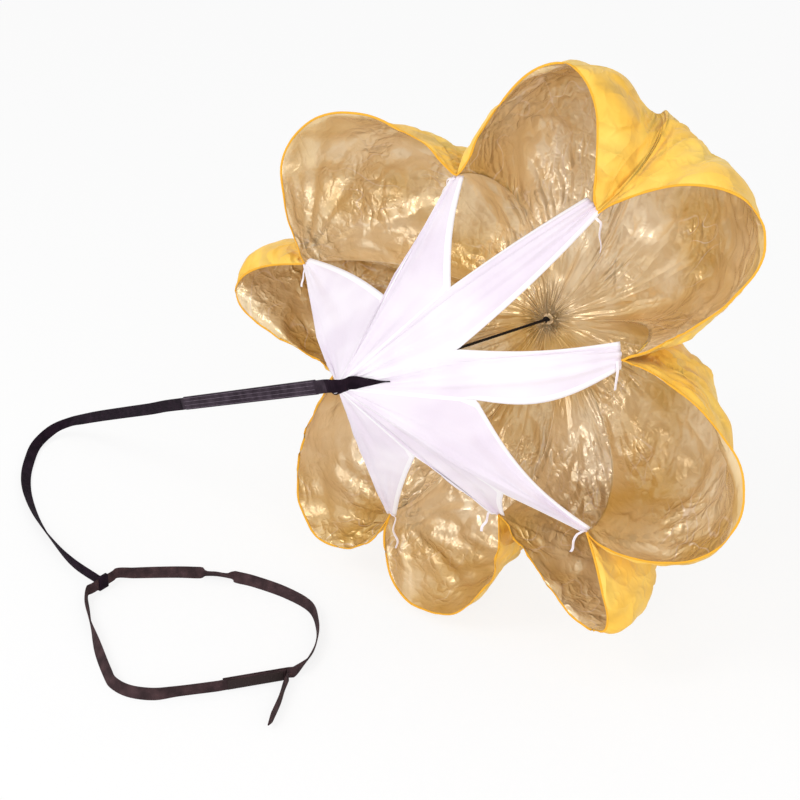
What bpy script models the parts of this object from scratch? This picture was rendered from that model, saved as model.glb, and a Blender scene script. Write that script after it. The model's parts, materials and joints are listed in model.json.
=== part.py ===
"""Speed parachute for sprint training, open as the air holds it, with its belt laid out beside it.

Eight gores of coated nylon meet at a small crown patch. Eight white panels run
from the corners of the hem to one gather, a thin line draws the crown towards
that gather, and a webbing leash goes from it to a hook-and-loop waist belt.
Units are metres, +Z is up, the canopy opens towards -Y, and the origin is the middle of
its mouth. The routes of the strap and the belt are measured from the floor.
"""

import math

import bmesh
import bpy
import numpy as np
from mathutils import Matrix, Vector

# Fabric and seams
FABRIC_WALL = 0.0012
PANEL_WALL = 0.0010
SEAM_GAP = 0.0008
HEM_GAP = 0.0008
REST_GAP = 0.0003

# Canopy: the hub line runs from the crown to the gather
HUB_HEIGHT = 0.482
HUB_TILT_DEG = 10.0
CROWN_DEPTH = 0.200
CROWN_DIMPLE = 0.050
CORNER_RADIUS = 0.300
LOBE_RADIUS = 0.500
HEM_LEAD = 0.005
CROWN_HOLE = 0.016

# Each corner of the hem, clockwise from the upper left as seen from the front
CORNER_DEG = (172, 108, 54, 12, -44, -74, -111, -154)
CORNER_RADIUS_SHARES = (1.10, 0.86, 1.03, 0.93, 1.12, 0.92, 1.20, 1.02)
CORNER_LEAD_SHARES = (0.15, 0.0, 0.0, 0.15, 0.0, -0.05, -0.05, 0.0)

# Each lobe, from its corner to the next
LOBE_RADIUS_SHARES = (0.85, 0.95, 1.03, 0.95, 1.05, 0.92, 0.97, 0.97)
LOBE_BULGE_SHARES = (0.96, 1.04, 1.04, 0.94, 0.94, 0.98, 0.98, 1.00)
LOBE_FULLNESS_SHARES = (0.62, 0.55, 0.50, 0.62, 0.95, 0.78, 0.72, 0.66)
LOBE_LEAN_DEG = (8, -16, 13, -4, 8, 0, 8, -16)
LOBE_PEAK_SHARES = (0.50, 0.50, 0.45, 0.50, 0.25, 0.50, 0.50, 0.50)
CORNER_SWAY_DEG = (0, 0, 12, 4, 0, 0, 0, 0)
CORNER_BULGE_SHARES = (1.04, 1.10, 2.30, 1.10, 1.04, 1.04, 1.04, 1.04)
LOBE_LEAD_SHARES = (0.0, 0.0, 0.0, 0.0, 0.0, -0.05, 0.0, 0.0)

# The hem is drawn in from the cloth's widest line: where its peak lies across the lobe, how far out
# it is, how full it is before and after the peak, and where along the cloth the drawing in starts
HEM_PEAK_SHARES = (0.31, 0.57, 0.47, 0.48, 0.25, 0.62, 0.35, 0.59)
HEM_RADIUS_SHARES = (0.924, 0.924, 1.07, 1.006, 0.976, 0.944, 0.992, 0.98)
HEM_FIRST_SHARES = (1.2, 1.6, 0.9, 1.0, 1.1, 0.5, 0.4, 2.5)
HEM_LAST_SHARES = (1.5, 1.6, 1.25, 0.85, 2.6, 0.6, 1.6, 1.2)
HEM_DEPTH_SHARE = 1.025
HEM_START_SHARE = 0.55

# How the cloth runs from the crown to the hem, as shares of its radius and depth
SEAM_RADIUS_SHARES = (0.0, 0.42, 1.0, 1.0)
SEAM_DEPTH_SHARES = (0.0, -1.0, 0.30, 1.0)
LOBE_PROFILE_SHARES = (0.0, 0.62, 1.0, 1.0)
LOBE_DEPTH_SHARES = (0.0, -1.3, 0.16, 1.0)

HEM_ROLL = 0.0022
HEM_CLEAR = 0.016

# Side panels and the gather
GATHER_LEAD = 0.330
PANEL_TIP_WIDTH = 0.020
PANEL_WIDTH = 0.100
PANEL_NECK_SHARE = 0.90
BUNDLE_RADIUS = 0.0095
BUNDLE_LENGTH = 0.022
TAPE_WIDTH = 0.0045
TAPE_SETBACK = 0.0060
TAPE_THICKNESS = 0.0012
TAPE_LENGTH = 0.038
PANEL_SEAT = 0.0010

# Crown patch, its knot and the line to the gather
PATCH_THICKNESS = 0.0030
LINE_DIAMETER = 0.0040
KNOT_RADIUS = 0.0055

# Leash and belt webbing
WEBBING_WIDTH = 0.020
WEBBING_THICKNESS = 0.0020
LEASH_DOUBLE_WIDTH = 0.022
LEASH_POINT = 0.030
LOOP_CLEARANCE = 0.0006
PATCH_LENGTH = 0.100
HOOK_THICKNESS = 0.0016

WRAP_LENGTH = 0.014
TAB_LENGTH = 0.068
TAB_SETBACK = 0.004
POINT_SHARE = 0.15
TAB_PANEL = 3
NECK_LENGTH = 0.014
DOUBLE_END = (-0.441, -0.202, 0.315)
DOUBLE_BEND_SHARE = 0.5
PLY_STEP = 0.020
STRAP_STEP = 0.014
EYE_RADIUS = 0.0015

# The free strap: x, y and z, and how far it leans from standing on its edge, in degrees
STRAP_ROUTE = (
    (-0.511, -0.171, 0.275, 0),
    (-0.579, -0.143, 0.235, 0),
    (-0.693, -0.095, 0.170, 5),
    (-0.802, -0.057, 0.110, 10),
    (-0.873, -0.033, 0.070, 20),
    (-0.930, -0.018, 0.038, 35),
    (-0.962, -0.034, 0.018, 50),
    (-0.955, -0.082, 0.010, 60),
    (-0.925, -0.128, 0.008, 62),
    (-0.881, -0.178, 0.008, 60),
    (-0.827, -0.222, 0.008, 50),
    (-0.748, -0.270, 0.010, 35),
    (-0.656, -0.311, 0.012, 15),
    (-0.590, -0.332, 0.0126, 0),
)

# The belt's webbing on the floor, after its overlap, from the place where the leash's loop holds it
LOOP_PLACE = (-0.512, -0.342)
BELT_SPAN = 0.350
BELT_ROUTE_SHARES = (
    (1.17, 0.14),
    (1.11, 0.27),
    (1.03, 0.37),
    (0.91, 0.46),
    (0.74, 0.48),
    (0.56, 0.46),
    (0.37, 0.40),
    (0.21, 0.29),
    (0.08, 0.18),
    (0.0, 0.103),
    (0.0, 0.063),
    (0.0, -0.063),
    (0.0, -0.103),
    (0.08, -0.18),
    (0.21, -0.28),
    (0.37, -0.39),
    (0.53, -0.49),
    (0.61, -0.53),
    (0.71, -0.53),
    (0.81, -0.48),
    (0.88, -0.40),
)
LOOP_INDEX = 10
LIFT_START = 0.030
LIFT_END = 0.075
BELT_STEP = 0.012
PATCH_START_SHARES = (0.997, -0.237)
PATCH_TURN_DEG = 54.2
LAP_SHARES = (0.0, 0.32, 1.0, 1.14)
OUTER_LAP_SHARES = (-0.13, 0.0, 0.5, 1.0)
PATCH_INSET = 0.006
PATCH_EDGE = 0.0012
TAIL_RISE = 0.005
TAIL_LENGTH = 0.130
TAIL_ROUTE_SHARES = ((0.125, -0.205), (0.272, -0.459), (0.472, -0.882))
TAIL_STEP = 0.012

PANEL_STEPS = 10
PANEL_FULL_SHARE = 0.5
TAPE_LEAN_SHARE = 0.25
ROUND_STEPS = 6
GORE_ACROSS = 18
GORE_ALONG = 18
HEM_SIDES = 6
CORD_SIDES = 8
KNOT_SIDES = 12
ROUND_SIDES = 24
LINE_STEPS = 8
CURVE_STEPS = 24
HOLE_SEARCH_SHARE = 0.25
HOLE_SEARCH_STEPS = 501
SHARP_DEG = 50.0


def clear_scene():
    for obj in list(bpy.data.objects):
        bpy.data.objects.remove(obj, do_unlink=True)


def material(name, color, roughness, metallic=0.0):
    made = bpy.data.materials.new(name)
    made.use_nodes = True
    shader = made.node_tree.nodes["Principled BSDF"]
    shader.inputs["Base Color"].default_value = (*color, 1.0)
    shader.inputs["Roughness"].default_value = roughness
    shader.inputs["Metallic"].default_value = metallic
    made.diffuse_color = (*color, 1.0)
    return made


def add_solid(name, points, faces, finish, smooth=True):
    """One closed mesh object, with its faces turned to point out."""
    mesh = bpy.data.meshes.new(name)
    mesh.from_pydata([tuple(float(x) for x in p) for p in points], [], faces)
    work = bmesh.new()
    work.from_mesh(mesh)
    bmesh.ops.recalc_face_normals(work, faces=work.faces)
    if work.calc_volume(signed=True) < 0:
        bmesh.ops.reverse_faces(work, faces=work.faces)
    work.to_mesh(mesh)
    work.free()
    mesh.materials.append(finish)
    if smooth:
        mesh.shade_smooth()
        mesh.set_sharp_from_angle(angle=math.radians(SHARP_DEG))
    obj = bpy.data.objects.new(name, mesh)
    bpy.context.collection.objects.link(obj)
    return obj


def unit(v):
    v = np.asarray(v, float)
    return v / np.maximum(np.linalg.norm(v, axis=-1, keepdims=True), 1e-12)


def bezier(t, a, b, c, d):
    m = 1.0 - t
    return a * m**3 + 3 * b * m**2 * t + 3 * c * m * t**2 + d * t**3


# The hub frame: X to the right, one axis out of the mouth and one across it
TILT = math.radians(HUB_TILT_DEG)
OUT = np.array([0.0, -math.cos(TILT), math.sin(TILT)])
SIDE = np.array([1.0, 0.0, 0.0])
RISE = np.array([0.0, math.sin(TILT), math.cos(TILT)])
MOUTH = np.array([0.0, 0.0, HUB_HEIGHT])
CROWN = MOUTH - OUT * CROWN_DEPTH
GATHER = MOUTH + OUT * GATHER_LEAD


def hub_point(radius, angle, depth):
    """A point by its distance from the hub line, its angle and its depth from the crown."""
    radius, angle, depth = (np.asarray(x, float)[..., None] for x in (radius, angle, depth))
    return CROWN + OUT * depth + radius * (SIDE * np.cos(angle) + RISE * np.sin(angle))


def corner_angle(k):
    turns, i = divmod(k, len(CORNER_DEG))
    return math.radians(CORNER_DEG[i] - 360 * turns)


def seam_angle(k, along):
    """The seam sways aside between the crown and its corner."""
    sway = math.radians(CORNER_SWAY_DEG[k % len(CORNER_DEG)])
    return corner_angle(k) + sway * np.sin(math.pi * along) ** 2


def seam_profile(k, along):
    """Radius and depth of the seam that ends at corner k."""
    i = k % len(CORNER_DEG)
    radius = CORNER_RADIUS * CORNER_RADIUS_SHARES[i]
    depth = CROWN_DEPTH * (1 + CORNER_LEAD_SHARES[i])
    a, b, c, d = (radius * share for share in SEAM_RADIUS_SHARES)
    r = bezier(along, a, b, c * CORNER_BULGE_SHARES[i], d)
    s = bezier(along, 0.0, SEAM_DEPTH_SHARES[1] * CROWN_DIMPLE, SEAM_DEPTH_SHARES[2] * depth, depth)
    return r, s


def lobe_profile(k, along):
    """Radius and depth down the middle of lobe k."""
    radius = LOBE_RADIUS * LOBE_RADIUS_SHARES[k]
    depth = CROWN_DEPTH * (1 + LOBE_LEAD_SHARES[k])
    a, b, c, d = (radius * share for share in LOBE_PROFILE_SHARES)
    r = bezier(along, a, b, c * LOBE_BULGE_SHARES[k], d)
    dimple, rise = LOBE_DEPTH_SHARES[1] * CROWN_DIMPLE, LOBE_DEPTH_SHARES[2] * depth
    s = bezier(along, 0.0, dimple, rise, depth + HEM_LEAD)
    return r, s


def hem_line(k, across):
    """Radius, angle and depth of lobe k's hem."""
    (r0, s0), (r1, s1) = seam_profile(k, 1.0), seam_profile(k + 1, 1.0)
    peak = HEM_PEAK_SHARES[k]
    first = np.sin(math.pi / 2 * np.clip(across / peak, 0, 1)) ** HEM_FIRST_SHARES[k]
    last = np.sin(math.pi / 2 * np.clip((1 - across) / (1 - peak), 0, 1)) ** HEM_LAST_SHARES[k]
    swell = np.where(across < peak, first, last)
    r = (r0 * (1 - across) + r1 * across) * (1 - swell) + LOBE_RADIUS * HEM_RADIUS_SHARES[k] * swell
    s = (s0 * (1 - across) + s1 * across) * (1 - swell) + CROWN_DEPTH * HEM_DEPTH_SHARE * swell
    return r, corner_angle(k) * (1 - across) + corner_angle(k + 1) * across, s


def gore_point(k, across, along):
    """A point of lobe k's cloth, before its thickness; across and along run from 0 to 1."""
    r0, s0 = seam_profile(k, along)
    r1, s1 = seam_profile(k + 1, along)
    rm, sm = lobe_profile(k, along)
    skew = math.log(0.5) / math.log(LOBE_PEAK_SHARES[k])
    swell = np.sin(math.pi * across**skew) ** LOBE_FULLNESS_SHARES[k]
    r = (r0 * (1 - across) + r1 * across) * (1 - swell) + rm * swell
    s = (s0 * (1 - across) + s1 * across) * (1 - swell) + sm * swell
    lean = math.radians(LOBE_LEAN_DEG[k]) * np.sin(math.pi * across) * along**2
    angle = seam_angle(k, along) * (1 - across) + seam_angle(k + 1, along) * across + lean
    draw = np.clip((along - HEM_START_SHARE) / (1 - HEM_START_SHARE), 0, 1) ** 2
    rh, ah, sh = hem_line(k, across)
    return hub_point(r + (rh - r) * draw, angle + (ah - angle) * draw, s + (sh - s) * draw)


def gore_grid(k):
    """Rows across lobe k and columns along it, closer together at the seams and towards the hem."""
    even = np.linspace(0, 1, GORE_ACROSS + 1)
    close = (1 - np.cos(math.pi * even)) / 2
    along = np.linspace(0, 1, GORE_ALONG + 1)
    blend = np.sqrt(along)
    u = even[:, None] * (1 - blend) + close[:, None] * blend
    first = np.array([hole_share(k, across) for across in even])
    v = first[:, None] + (1 - first[:, None]) * along
    return gore_point(k, u, v)


def hole_share(k, across):
    """Where the line at this place across lobe k leaves the round hole in the crown."""
    along = np.linspace(0.0, HOLE_SEARCH_SHARE, HOLE_SEARCH_STEPS)
    point = gore_point(k, np.full_like(along, across), along) - CROWN
    radius = np.linalg.norm(point - OUT * (point @ OUT)[:, None], axis=1)
    return float(np.interp(CROWN_HOLE, radius, along))


def grid_faces(rows, columns, start=0, flip=False):
    """Two triangles for each cell, cut along the same diagonal on both sides of a wall."""
    faces = []
    for i in range(rows - 1):
        for j in range(columns - 1):
            a = start + i * columns + j
            b, c, d = a + 1, a + columns + 1, a + columns
            for face in ((a, b, c), (a, c, d)):
                faces.append(face[::-1] if flip else face)
    return faces


def shell(name, outer, inner, finish):
    """A closed wall between two grids of points that have the same shape."""
    rows, columns = outer.shape[:2]
    points = np.concatenate([outer.reshape(-1, 3), inner.reshape(-1, 3)])
    size = rows * columns
    faces = grid_faces(rows, columns) + grid_faces(rows, columns, size, True)
    rim = [j for j in range(columns)]
    rim += [i * columns + columns - 1 for i in range(1, rows)]
    rim += [(rows - 1) * columns + j for j in range(columns - 2, -1, -1)]
    rim += [i * columns for i in range(rows - 2, 0, -1)]
    for a, b in zip(rim, rim[1:] + rim[:1], strict=True):
        faces.append((b, a, a + size, b + size))
    return add_solid(name, points, faces, finish)


def gore_normals(points):
    normals = unit(np.cross(np.gradient(points, axis=0), np.gradient(points, axis=1)))
    middle = CROWN + OUT * CROWN_DEPTH / 2
    if ((points - middle) * normals).sum() < 0:
        normals = -normals
    return normals


def gores(finish):
    """Eight lobes of cloth that share their seam lines, each cut back by half the seam's gap."""
    grids = [gore_grid(k) for k in range(len(CORNER_DEG))]
    normals = [gore_normals(points) for points in grids]
    for k, points in enumerate(grids):
        n = normals[k].copy()
        n[0] = unit(normals[k][0] + normals[k - 1][-1])
        n[-1] = unit(normals[k][-1] + normals[(k + 1) % len(grids)][0])
        middle = points.copy()
        for edge, inward in ((0, 1), (-1, -2)):
            run = unit(np.gradient(points[edge], axis=0))
            aside = unit(np.cross(run, n[edge]))
            toward = ((points[inward] - points[edge]) * aside).sum(-1, keepdims=True)
            middle[edge] += np.sign(toward) * aside * SEAM_GAP / 2
        outer, inner = middle + n * FABRIC_WALL / 2, middle - n * FABRIC_WALL / 2
        shell(f"canopy_gore_{k + 1}", outer, inner, finish)
    return grids


def curve_through(points, spacing):
    """Points at even steps along a smooth curve through the given rows of numbers."""
    p = np.asarray(points, float)
    p = np.vstack([2 * p[0] - p[1], p, 2 * p[-1] - p[-2]])
    out = []
    for a, b, c, d in zip(p, p[1:], p[2:], p[3:]):
        for t in np.linspace(0, 1, CURVE_STEPS, endpoint=False):
            bend, twist = 2 * a - 5 * b + 4 * c - d, 3 * b - a - 3 * c + d
            out.append(0.5 * (2 * b + (c - a) * t + bend * t**2 + twist * t**3))
    out = np.array(out + [p[-2]])
    run = np.concatenate([[0.0], np.linalg.norm(np.diff(out[:, :3], axis=0), axis=1).cumsum()])
    steps = np.linspace(0, run[-1], max(2, round(run[-1] / spacing) + 1))
    return np.stack([np.interp(steps, run, column) for column in out.T], 1)


def swept(name, centres, widths, aside, thickness, finish):
    """A flat band along a line: aside gives the direction of its width at each point."""
    run = unit(np.gradient(centres, axis=0))
    across = unit(aside - (aside * run).sum(-1, keepdims=True) * run)
    face = np.cross(run, across)
    half = np.asarray(widths, float).reshape(-1, 1) / 2
    signs = ((-1, -1), (1, -1), (1, 1), (-1, 1))
    ring = [centres + across * half * a + face * thickness / 2 * b for a, b in signs]
    points = np.stack(ring, 1).reshape(-1, 3)
    count = len(centres)
    faces = []
    for i in range(count - 1):
        for j in range(4):
            a, b = 4 * i + j, 4 * i + (j + 1) % 4
            faces.append((a, b, b + 4, a + 4))
    faces += [(3, 2, 1, 0), tuple(4 * (count - 1) + j for j in range(4))]
    return add_solid(name, points, faces, finish, smooth=False)


def tube(name, centres, radius, sides, finish, first=None):
    """A round bar along a line, with flat ends; first points from the line to its first side."""
    run = unit(np.gradient(centres, axis=0))
    if first is None:
        first = unit(np.cross(run, [0.31, 0.17, 0.93]))
    second = np.cross(run, first)
    turn = 2 * math.pi * np.arange(sides) / sides
    ring = np.cos(turn)[:, None, None] * first + np.sin(turn)[:, None, None] * second
    points = (centres + radius * ring).transpose(1, 0, 2).reshape(-1, 3)
    faces = []
    for i in range(len(centres) - 1):
        for j in range(sides):
            a, b = i * sides + j, i * sides + (j + 1) % sides
            faces.append((a, b, b + sides, a + sides))
    faces += [tuple(range(sides))[::-1], tuple((len(centres) - 1) * sides + j for j in range(sides))]
    return add_solid(name, points, faces, finish)


def hems(grids, finish):
    """The rolled edge of each lobe, just outside the cloth, clear of the panels' tips."""
    for k, points in enumerate(grids):
        first, last = (np.linalg.norm(points[:, -1] - points[i, -1], axis=1) for i in (0, -1))
        clear = np.minimum(first, last) > HEM_CLEAR
        edge = points[clear, -1]
        run = unit(np.gradient(edge, axis=0))
        away = edge - points[clear, -2]
        away = unit(away - (away * run).sum(-1, keepdims=True) * run)
        centres = edge + away * (HEM_ROLL + HEM_GAP)
        tube(f"hem_roll_{k + 1}", centres, HEM_ROLL, HEM_SIDES, finish, away)


def corner_point(k):
    r, s = seam_profile(k, 1.0)
    return hub_point(r, corner_angle(k), s)


def bundle_angle(k):
    """The place of panel k's end round the gather, evenly spaced."""
    count = len(CORNER_DEG)
    turn = 360 / count
    first = sum(a + turn * i for i, a in enumerate(CORNER_DEG)) / count
    return math.radians(first - turn * k)


def panel_line(k):
    """Centre line of side panel k from the hem's corner to the end of the gather."""
    outward = SIDE * math.cos(bundle_angle(k)) + RISE * math.sin(bundle_angle(k))
    end = GATHER + outward * BUNDLE_RADIUS
    start = corner_point(k)
    start = start + unit(end - start) * PANEL_SEAT
    share = np.linspace(0, 1, PANEL_STEPS + 1)[:, None]
    line = start + (end - start) * share
    return np.vstack([line, end + OUT * BUNDLE_LENGTH])


def hub_polar(points):
    """Distance from the hub line and angle about it."""
    from_crown = points - CROWN
    x, y = from_crown @ SIDE, from_crown @ RISE
    return np.hypot(x, y), np.arctan2(y, x)


def panels(finish):
    count = len(CORNER_DEG)
    lines = [panel_line(k) for k in range(count)]
    polar = [hub_polar(line) for line in lines]
    for k, line in enumerate(lines):
        radius, angle = polar[k]
        room = []
        for other in ((k - 1) % count, (k + 1) % count):
            apart = np.abs((angle - polar[other][1] + math.pi) % (2 * math.pi) - math.pi)
            room.append(2 * np.minimum(radius, polar[other][0]) * np.tan(apart / 2))
        share = np.linspace(0, 1, PANEL_STEPS + 1)
        widths = PANEL_TIP_WIDTH + (PANEL_WIDTH - PANEL_TIP_WIDTH) * np.minimum(share / PANEL_FULL_SHARE, 1.0)
        widths = np.append(widths, widths[-1])
        widths = np.minimum(widths, PANEL_NECK_SHARE * np.minimum(*room))
        aside = -np.sin(angle)[:, None] * SIDE + np.cos(angle)[:, None] * RISE
        swept(f"side_panel_{k + 1}", line, widths, aside, PANEL_WALL, finish)


def panel_face(k):
    """Directions along panel k at its tip, across it and square to it; the last two point down."""
    line = panel_line(k)
    run = unit(line[1] - line[0])
    angle = corner_angle(k)
    aside = -math.sin(angle) * SIDE + math.cos(angle) * RISE
    aside = unit(aside - (aside @ run) * run)
    face = np.cross(run, aside)
    return run, aside * -np.sign(aside[2]), face * -np.sign(face[2])


def tapes(finish):
    """The loose end of tape at each corner, sewn under the panel's tip and hanging from its edge."""
    for k in range(len(CORNER_DEG)):
        run, aside, face = panel_face(k)
        seat = face * (PANEL_WALL / 2 + REST_GAP + TAPE_THICKNESS / 2)
        top = panel_line(k)[0] + run * TAPE_SETBACK + seat
        edge = top + aside * (PANEL_TIP_WIDTH / 2 + TAPE_WIDTH)
        drop = unit(aside * TAPE_LEAN_SHARE + OUT * TAPE_LEAN_SHARE + np.array([0, 0, -1.0]))
        centres = np.array([top, edge, edge + drop * TAPE_LENGTH / 2, edge + drop * TAPE_LENGTH])
        swept(f"corner_tape_{k + 1}", centres, [TAPE_WIDTH] * 4, np.array([run] * 4), TAPE_THICKNESS, finish)


def crown_parts(cloth, black):
    """The round patch that fills the hole in the crown, the knot on it and the line to the gather."""
    depth = np.mean([gore_grid(k)[:, 0] for k in range(len(CORNER_DEG))], axis=(0, 1)) - CROWN
    middle = float(depth @ OUT)
    radius = CROWN_HOLE - REST_GAP
    bottom = CROWN + OUT * (middle - PATCH_THICKNESS / 2)
    top = CROWN + OUT * (middle + PATCH_THICKNESS / 2)
    tube("crown_patch", np.array([bottom, top]), radius, ROUND_SIDES, cloth)
    knot = top + OUT * (REST_GAP + KNOT_RADIUS)
    knot_solid("crown_knot", knot, black)
    start = knot + OUT * (KNOT_RADIUS + REST_GAP)
    stop = GATHER - OUT * REST_GAP
    share = np.linspace(0, 1, LINE_STEPS + 1)[:, None]
    tube("crown_line", start + (stop - start) * share, LINE_DIAMETER / 2, CORD_SIDES, black)


def knot_solid(name, centre, finish):
    work = bmesh.new()
    bmesh.ops.create_uvsphere(work, u_segments=KNOT_SIDES, v_segments=CORD_SIDES, radius=KNOT_RADIUS)
    points = [centre + np.array(v.co) for v in work.verts]
    faces = [tuple(v.index for v in f.verts) for f in work.faces]
    work.free()
    return add_solid(name, points, faces, finish)


def block(name, centre, along, across, up, length, width, height, finish):
    """A plain bar given by its middle, three directions and three sizes."""
    corners = []
    for i in (-1, 1):
        for j, k in ((-1, -1), (1, -1), (1, 1), (-1, 1)):
            corners.append(centre + along * length / 2 * i + across * width / 2 * j + up * height / 2 * k)
    faces = [(0, 1, 2, 3), (7, 6, 5, 4)] + [(j, j + 4, (j + 1) % 4 + 4, (j + 1) % 4) for j in range(4)]
    return add_solid(name, corners, faces, finish, smooth=False)


def sleeve(name, centre, along, across, up, length, inner_width, inner_height, wall, finish):
    """A square tube with its opening running along the first direction."""
    points = []
    for i in (-1, 1):
        for extra in (0.0, wall):
            for j, k in ((-1, -1), (1, -1), (1, 1), (-1, 1)):
                w, h = inner_width / 2 + extra, inner_height / 2 + extra
                points.append(centre + along * length / 2 * i + across * w * j + up * h * k)
    faces = []
    for j in range(4):
        n = (j + 1) % 4
        faces.append((j, n, n + 8, j + 8))
        faces.append((j + 4, j + 12, n + 12, n + 4))
        faces.append((j, j + 4, n + 4, n))
        faces.append((j + 8, n + 8, n + 12, j + 12))
    return add_solid(name, points, faces, finish, smooth=False)


def wrap_half():
    """Half the inside of the square sleeve that goes round the eight panel ends."""
    half_width = PANEL_NECK_SHARE * BUNDLE_RADIUS * math.tan(math.pi / len(CORNER_DEG))
    return math.hypot(BUNDLE_RADIUS + PANEL_WALL / 2, half_width) + REST_GAP


def gather_parts(white, black):
    """The bundled panel ends' core, the webbing sleeve sewn round it and its pointed tab."""
    core = BUNDLE_RADIUS - PANEL_WALL / 2 - REST_GAP
    tube("gather_core", np.array([GATHER, GATHER + OUT * BUNDLE_LENGTH]), core, ROUND_SIDES, white)
    inside = 2 * wrap_half()
    middle = GATHER + OUT * (BUNDLE_LENGTH - WRAP_LENGTH / 2)
    sleeve("gather_wrap", middle, OUT, SIDE, RISE, WRAP_LENGTH, inside, inside, WEBBING_THICKNESS, black)
    line = panel_line(TAB_PANEL)
    run = unit(line[0] - line[-2])
    radius, angle = hub_polar(line[:1])
    aside = unit(-math.sin(angle[0]) * SIDE + math.cos(angle[0]) * RISE)
    face = unit(np.cross(run, aside))
    if (face @ (line[0] - MOUTH)) < 0:
        face = -face
    lift = face * (PANEL_WALL / 2 + REST_GAP + WEBBING_THICKNESS / 2)
    foot = line[-2] + lift + run * TAB_SETBACK
    steps = np.array([0.0, TAB_LENGTH - LEASH_POINT, TAB_LENGTH])
    centres = foot + run * steps[:, None]
    widths = [WEBBING_WIDTH, WEBBING_WIDTH, WEBBING_WIDTH * POINT_SHARE]
    swept("gather_tab", centres, widths, np.array([aside] * 3), WEBBING_THICKNESS, black)


def leash_start():
    """The middle of the leash's rounded end, on the axis that it swings about."""
    half = wrap_half() + WEBBING_THICKNESS
    middle = GATHER + OUT * (BUNDLE_LENGTH - WRAP_LENGTH / 2)
    return middle - SIDE * (half + REST_GAP + WEBBING_THICKNESS / 2)


def rounded_band(name, centres, width, aside, thickness, start_axis, finish):
    """A flat band whose first end is a half round about an upright axis."""
    run = unit(centres[1] - centres[0])
    face = unit(np.cross(start_axis, run))
    turn = np.linspace(math.pi / 2, -math.pi / 2, ROUND_STEPS + 1)
    cap = [centres[0] - run * thickness / 2 * math.cos(a) + face * thickness / 2 * math.sin(a) for a in turn]
    runs = unit(np.gradient(centres, axis=0))
    across = unit(aside - (aside * runs).sum(-1, keepdims=True) * runs)
    faces_dir = np.cross(across, runs)
    one = [c + f * thickness / 2 for c, f in zip(centres[1:], faces_dir[1:])]
    other = [c - f * thickness / 2 for c, f in zip(centres[1:], faces_dir[1:])]
    outline = cap + other + one[::-1]
    ups = [start_axis] * len(cap) + list(across[1:]) + list(across[1:][::-1])
    low = [p - u * width / 2 for p, u in zip(outline, ups)]
    high = [p + u * width / 2 for p, u in zip(outline, ups)]
    count, caps = len(outline), len(cap)
    points = low + high
    faces = [(i, (i + 1) % count, (i + 1) % count + count, i + count) for i in range(count)]
    steps = len(centres) - 1
    for side, flip in ((0, True), (count, False)):
        ring = [side + i for i in range(caps)]
        mine, theirs = side + caps, side + count - 1
        head = (*ring, mine, theirs)
        faces.append(head[::-1] if flip else head)
        for i in range(steps - 1):
            quad = (mine + i, mine + i + 1, theirs - i - 1, theirs - i)
            faces.append(quad[::-1] if flip else quad)
    return add_solid(name, points, faces, finish, smooth=False)


def upright(count):
    return np.array([[0.0, 0.0, 1.0]] * count)


def leash_parts(black):
    start = leash_start()
    far = np.array(DOUBLE_END)
    level = np.array([far[0] - start[0], far[1] - start[1], 0.0])
    neck = start + unit(level) * NECK_LENGTH
    line = curve_through([start, neck, neck + (far - neck) * DOUBLE_BEND_SHARE, far], PLY_STEP)
    rounded_band("leash_webbing_doubled", line, WEBBING_WIDTH, upright(len(line)), WEBBING_THICKNESS,
                 np.array([0.0, 0.0, 1.0]), black)
    run = unit(np.gradient(line, axis=0))
    across = unit(upright(len(line)) - run[:, 2:] * run)
    face = np.cross(run, across)
    ply = (line + face * (WEBBING_THICKNESS + REST_GAP))[2:-1]
    swept("leash_stiffener_ply", ply, [LEASH_DOUBLE_WIDTH] * len(ply), across[2:-1], WEBBING_THICKNESS, black)
    route = np.array([[*far, 0.0], *STRAP_ROUTE])
    end = np.array([*loop_front(EYE_RADIUS + REST_GAP), 0.0])
    route = np.vstack([route, end])
    strap = curve_through(route, STRAP_STEP)
    centres, lean = strap[:, :3], np.radians(strap[:, 3])
    run = unit(np.gradient(centres, axis=0))
    side = unit(np.cross(run, [0.0, 0.0, 1.0]))
    across = np.cos(lean)[:, None] * np.array([0.0, 0.0, 1.0]) + np.sin(lean)[:, None] * side
    across = unit(across - (across * run).sum(-1, keepdims=True) * run)
    floor = np.abs(across[:, 2]) * WEBBING_WIDTH / 2 + WEBBING_THICKNESS / 2
    centres[:, 2] = np.maximum(centres[:, 2], floor)
    centres[0] = far + run[0] * REST_GAP
    swept("leash_strap", centres, [WEBBING_WIDTH] * len(centres), across, WEBBING_THICKNESS, black)


def belt_lift():
    """Height of the band's middle where the leash's loop holds it."""
    return WEBBING_THICKNESS + LOOP_CLEARANCE + WEBBING_WIDTH / 2


def loop_place():
    """The middle of the leash's end loop and the belt's direction there."""
    a, b = (np.array(BELT_ROUTE_SHARES[i]) for i in (LOOP_INDEX, LOOP_INDEX + 1))
    run = unit(np.array([*(b - a), 0.0]))
    return np.array([*LOOP_PLACE, belt_lift()]), run


def loop_front(beyond=0.0):
    """The axis that the loop turns about, or a place beyond it towards the strap."""
    middle, run = loop_place()
    away = np.cross(run, [0.0, 0.0, 1.0])
    if away[0] > 0:
        away = -away
    half = WEBBING_THICKNESS / 2 + LOOP_CLEARANCE + WEBBING_THICKNESS
    return middle + away * (half + REST_GAP + EYE_RADIUS + beyond)


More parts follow.
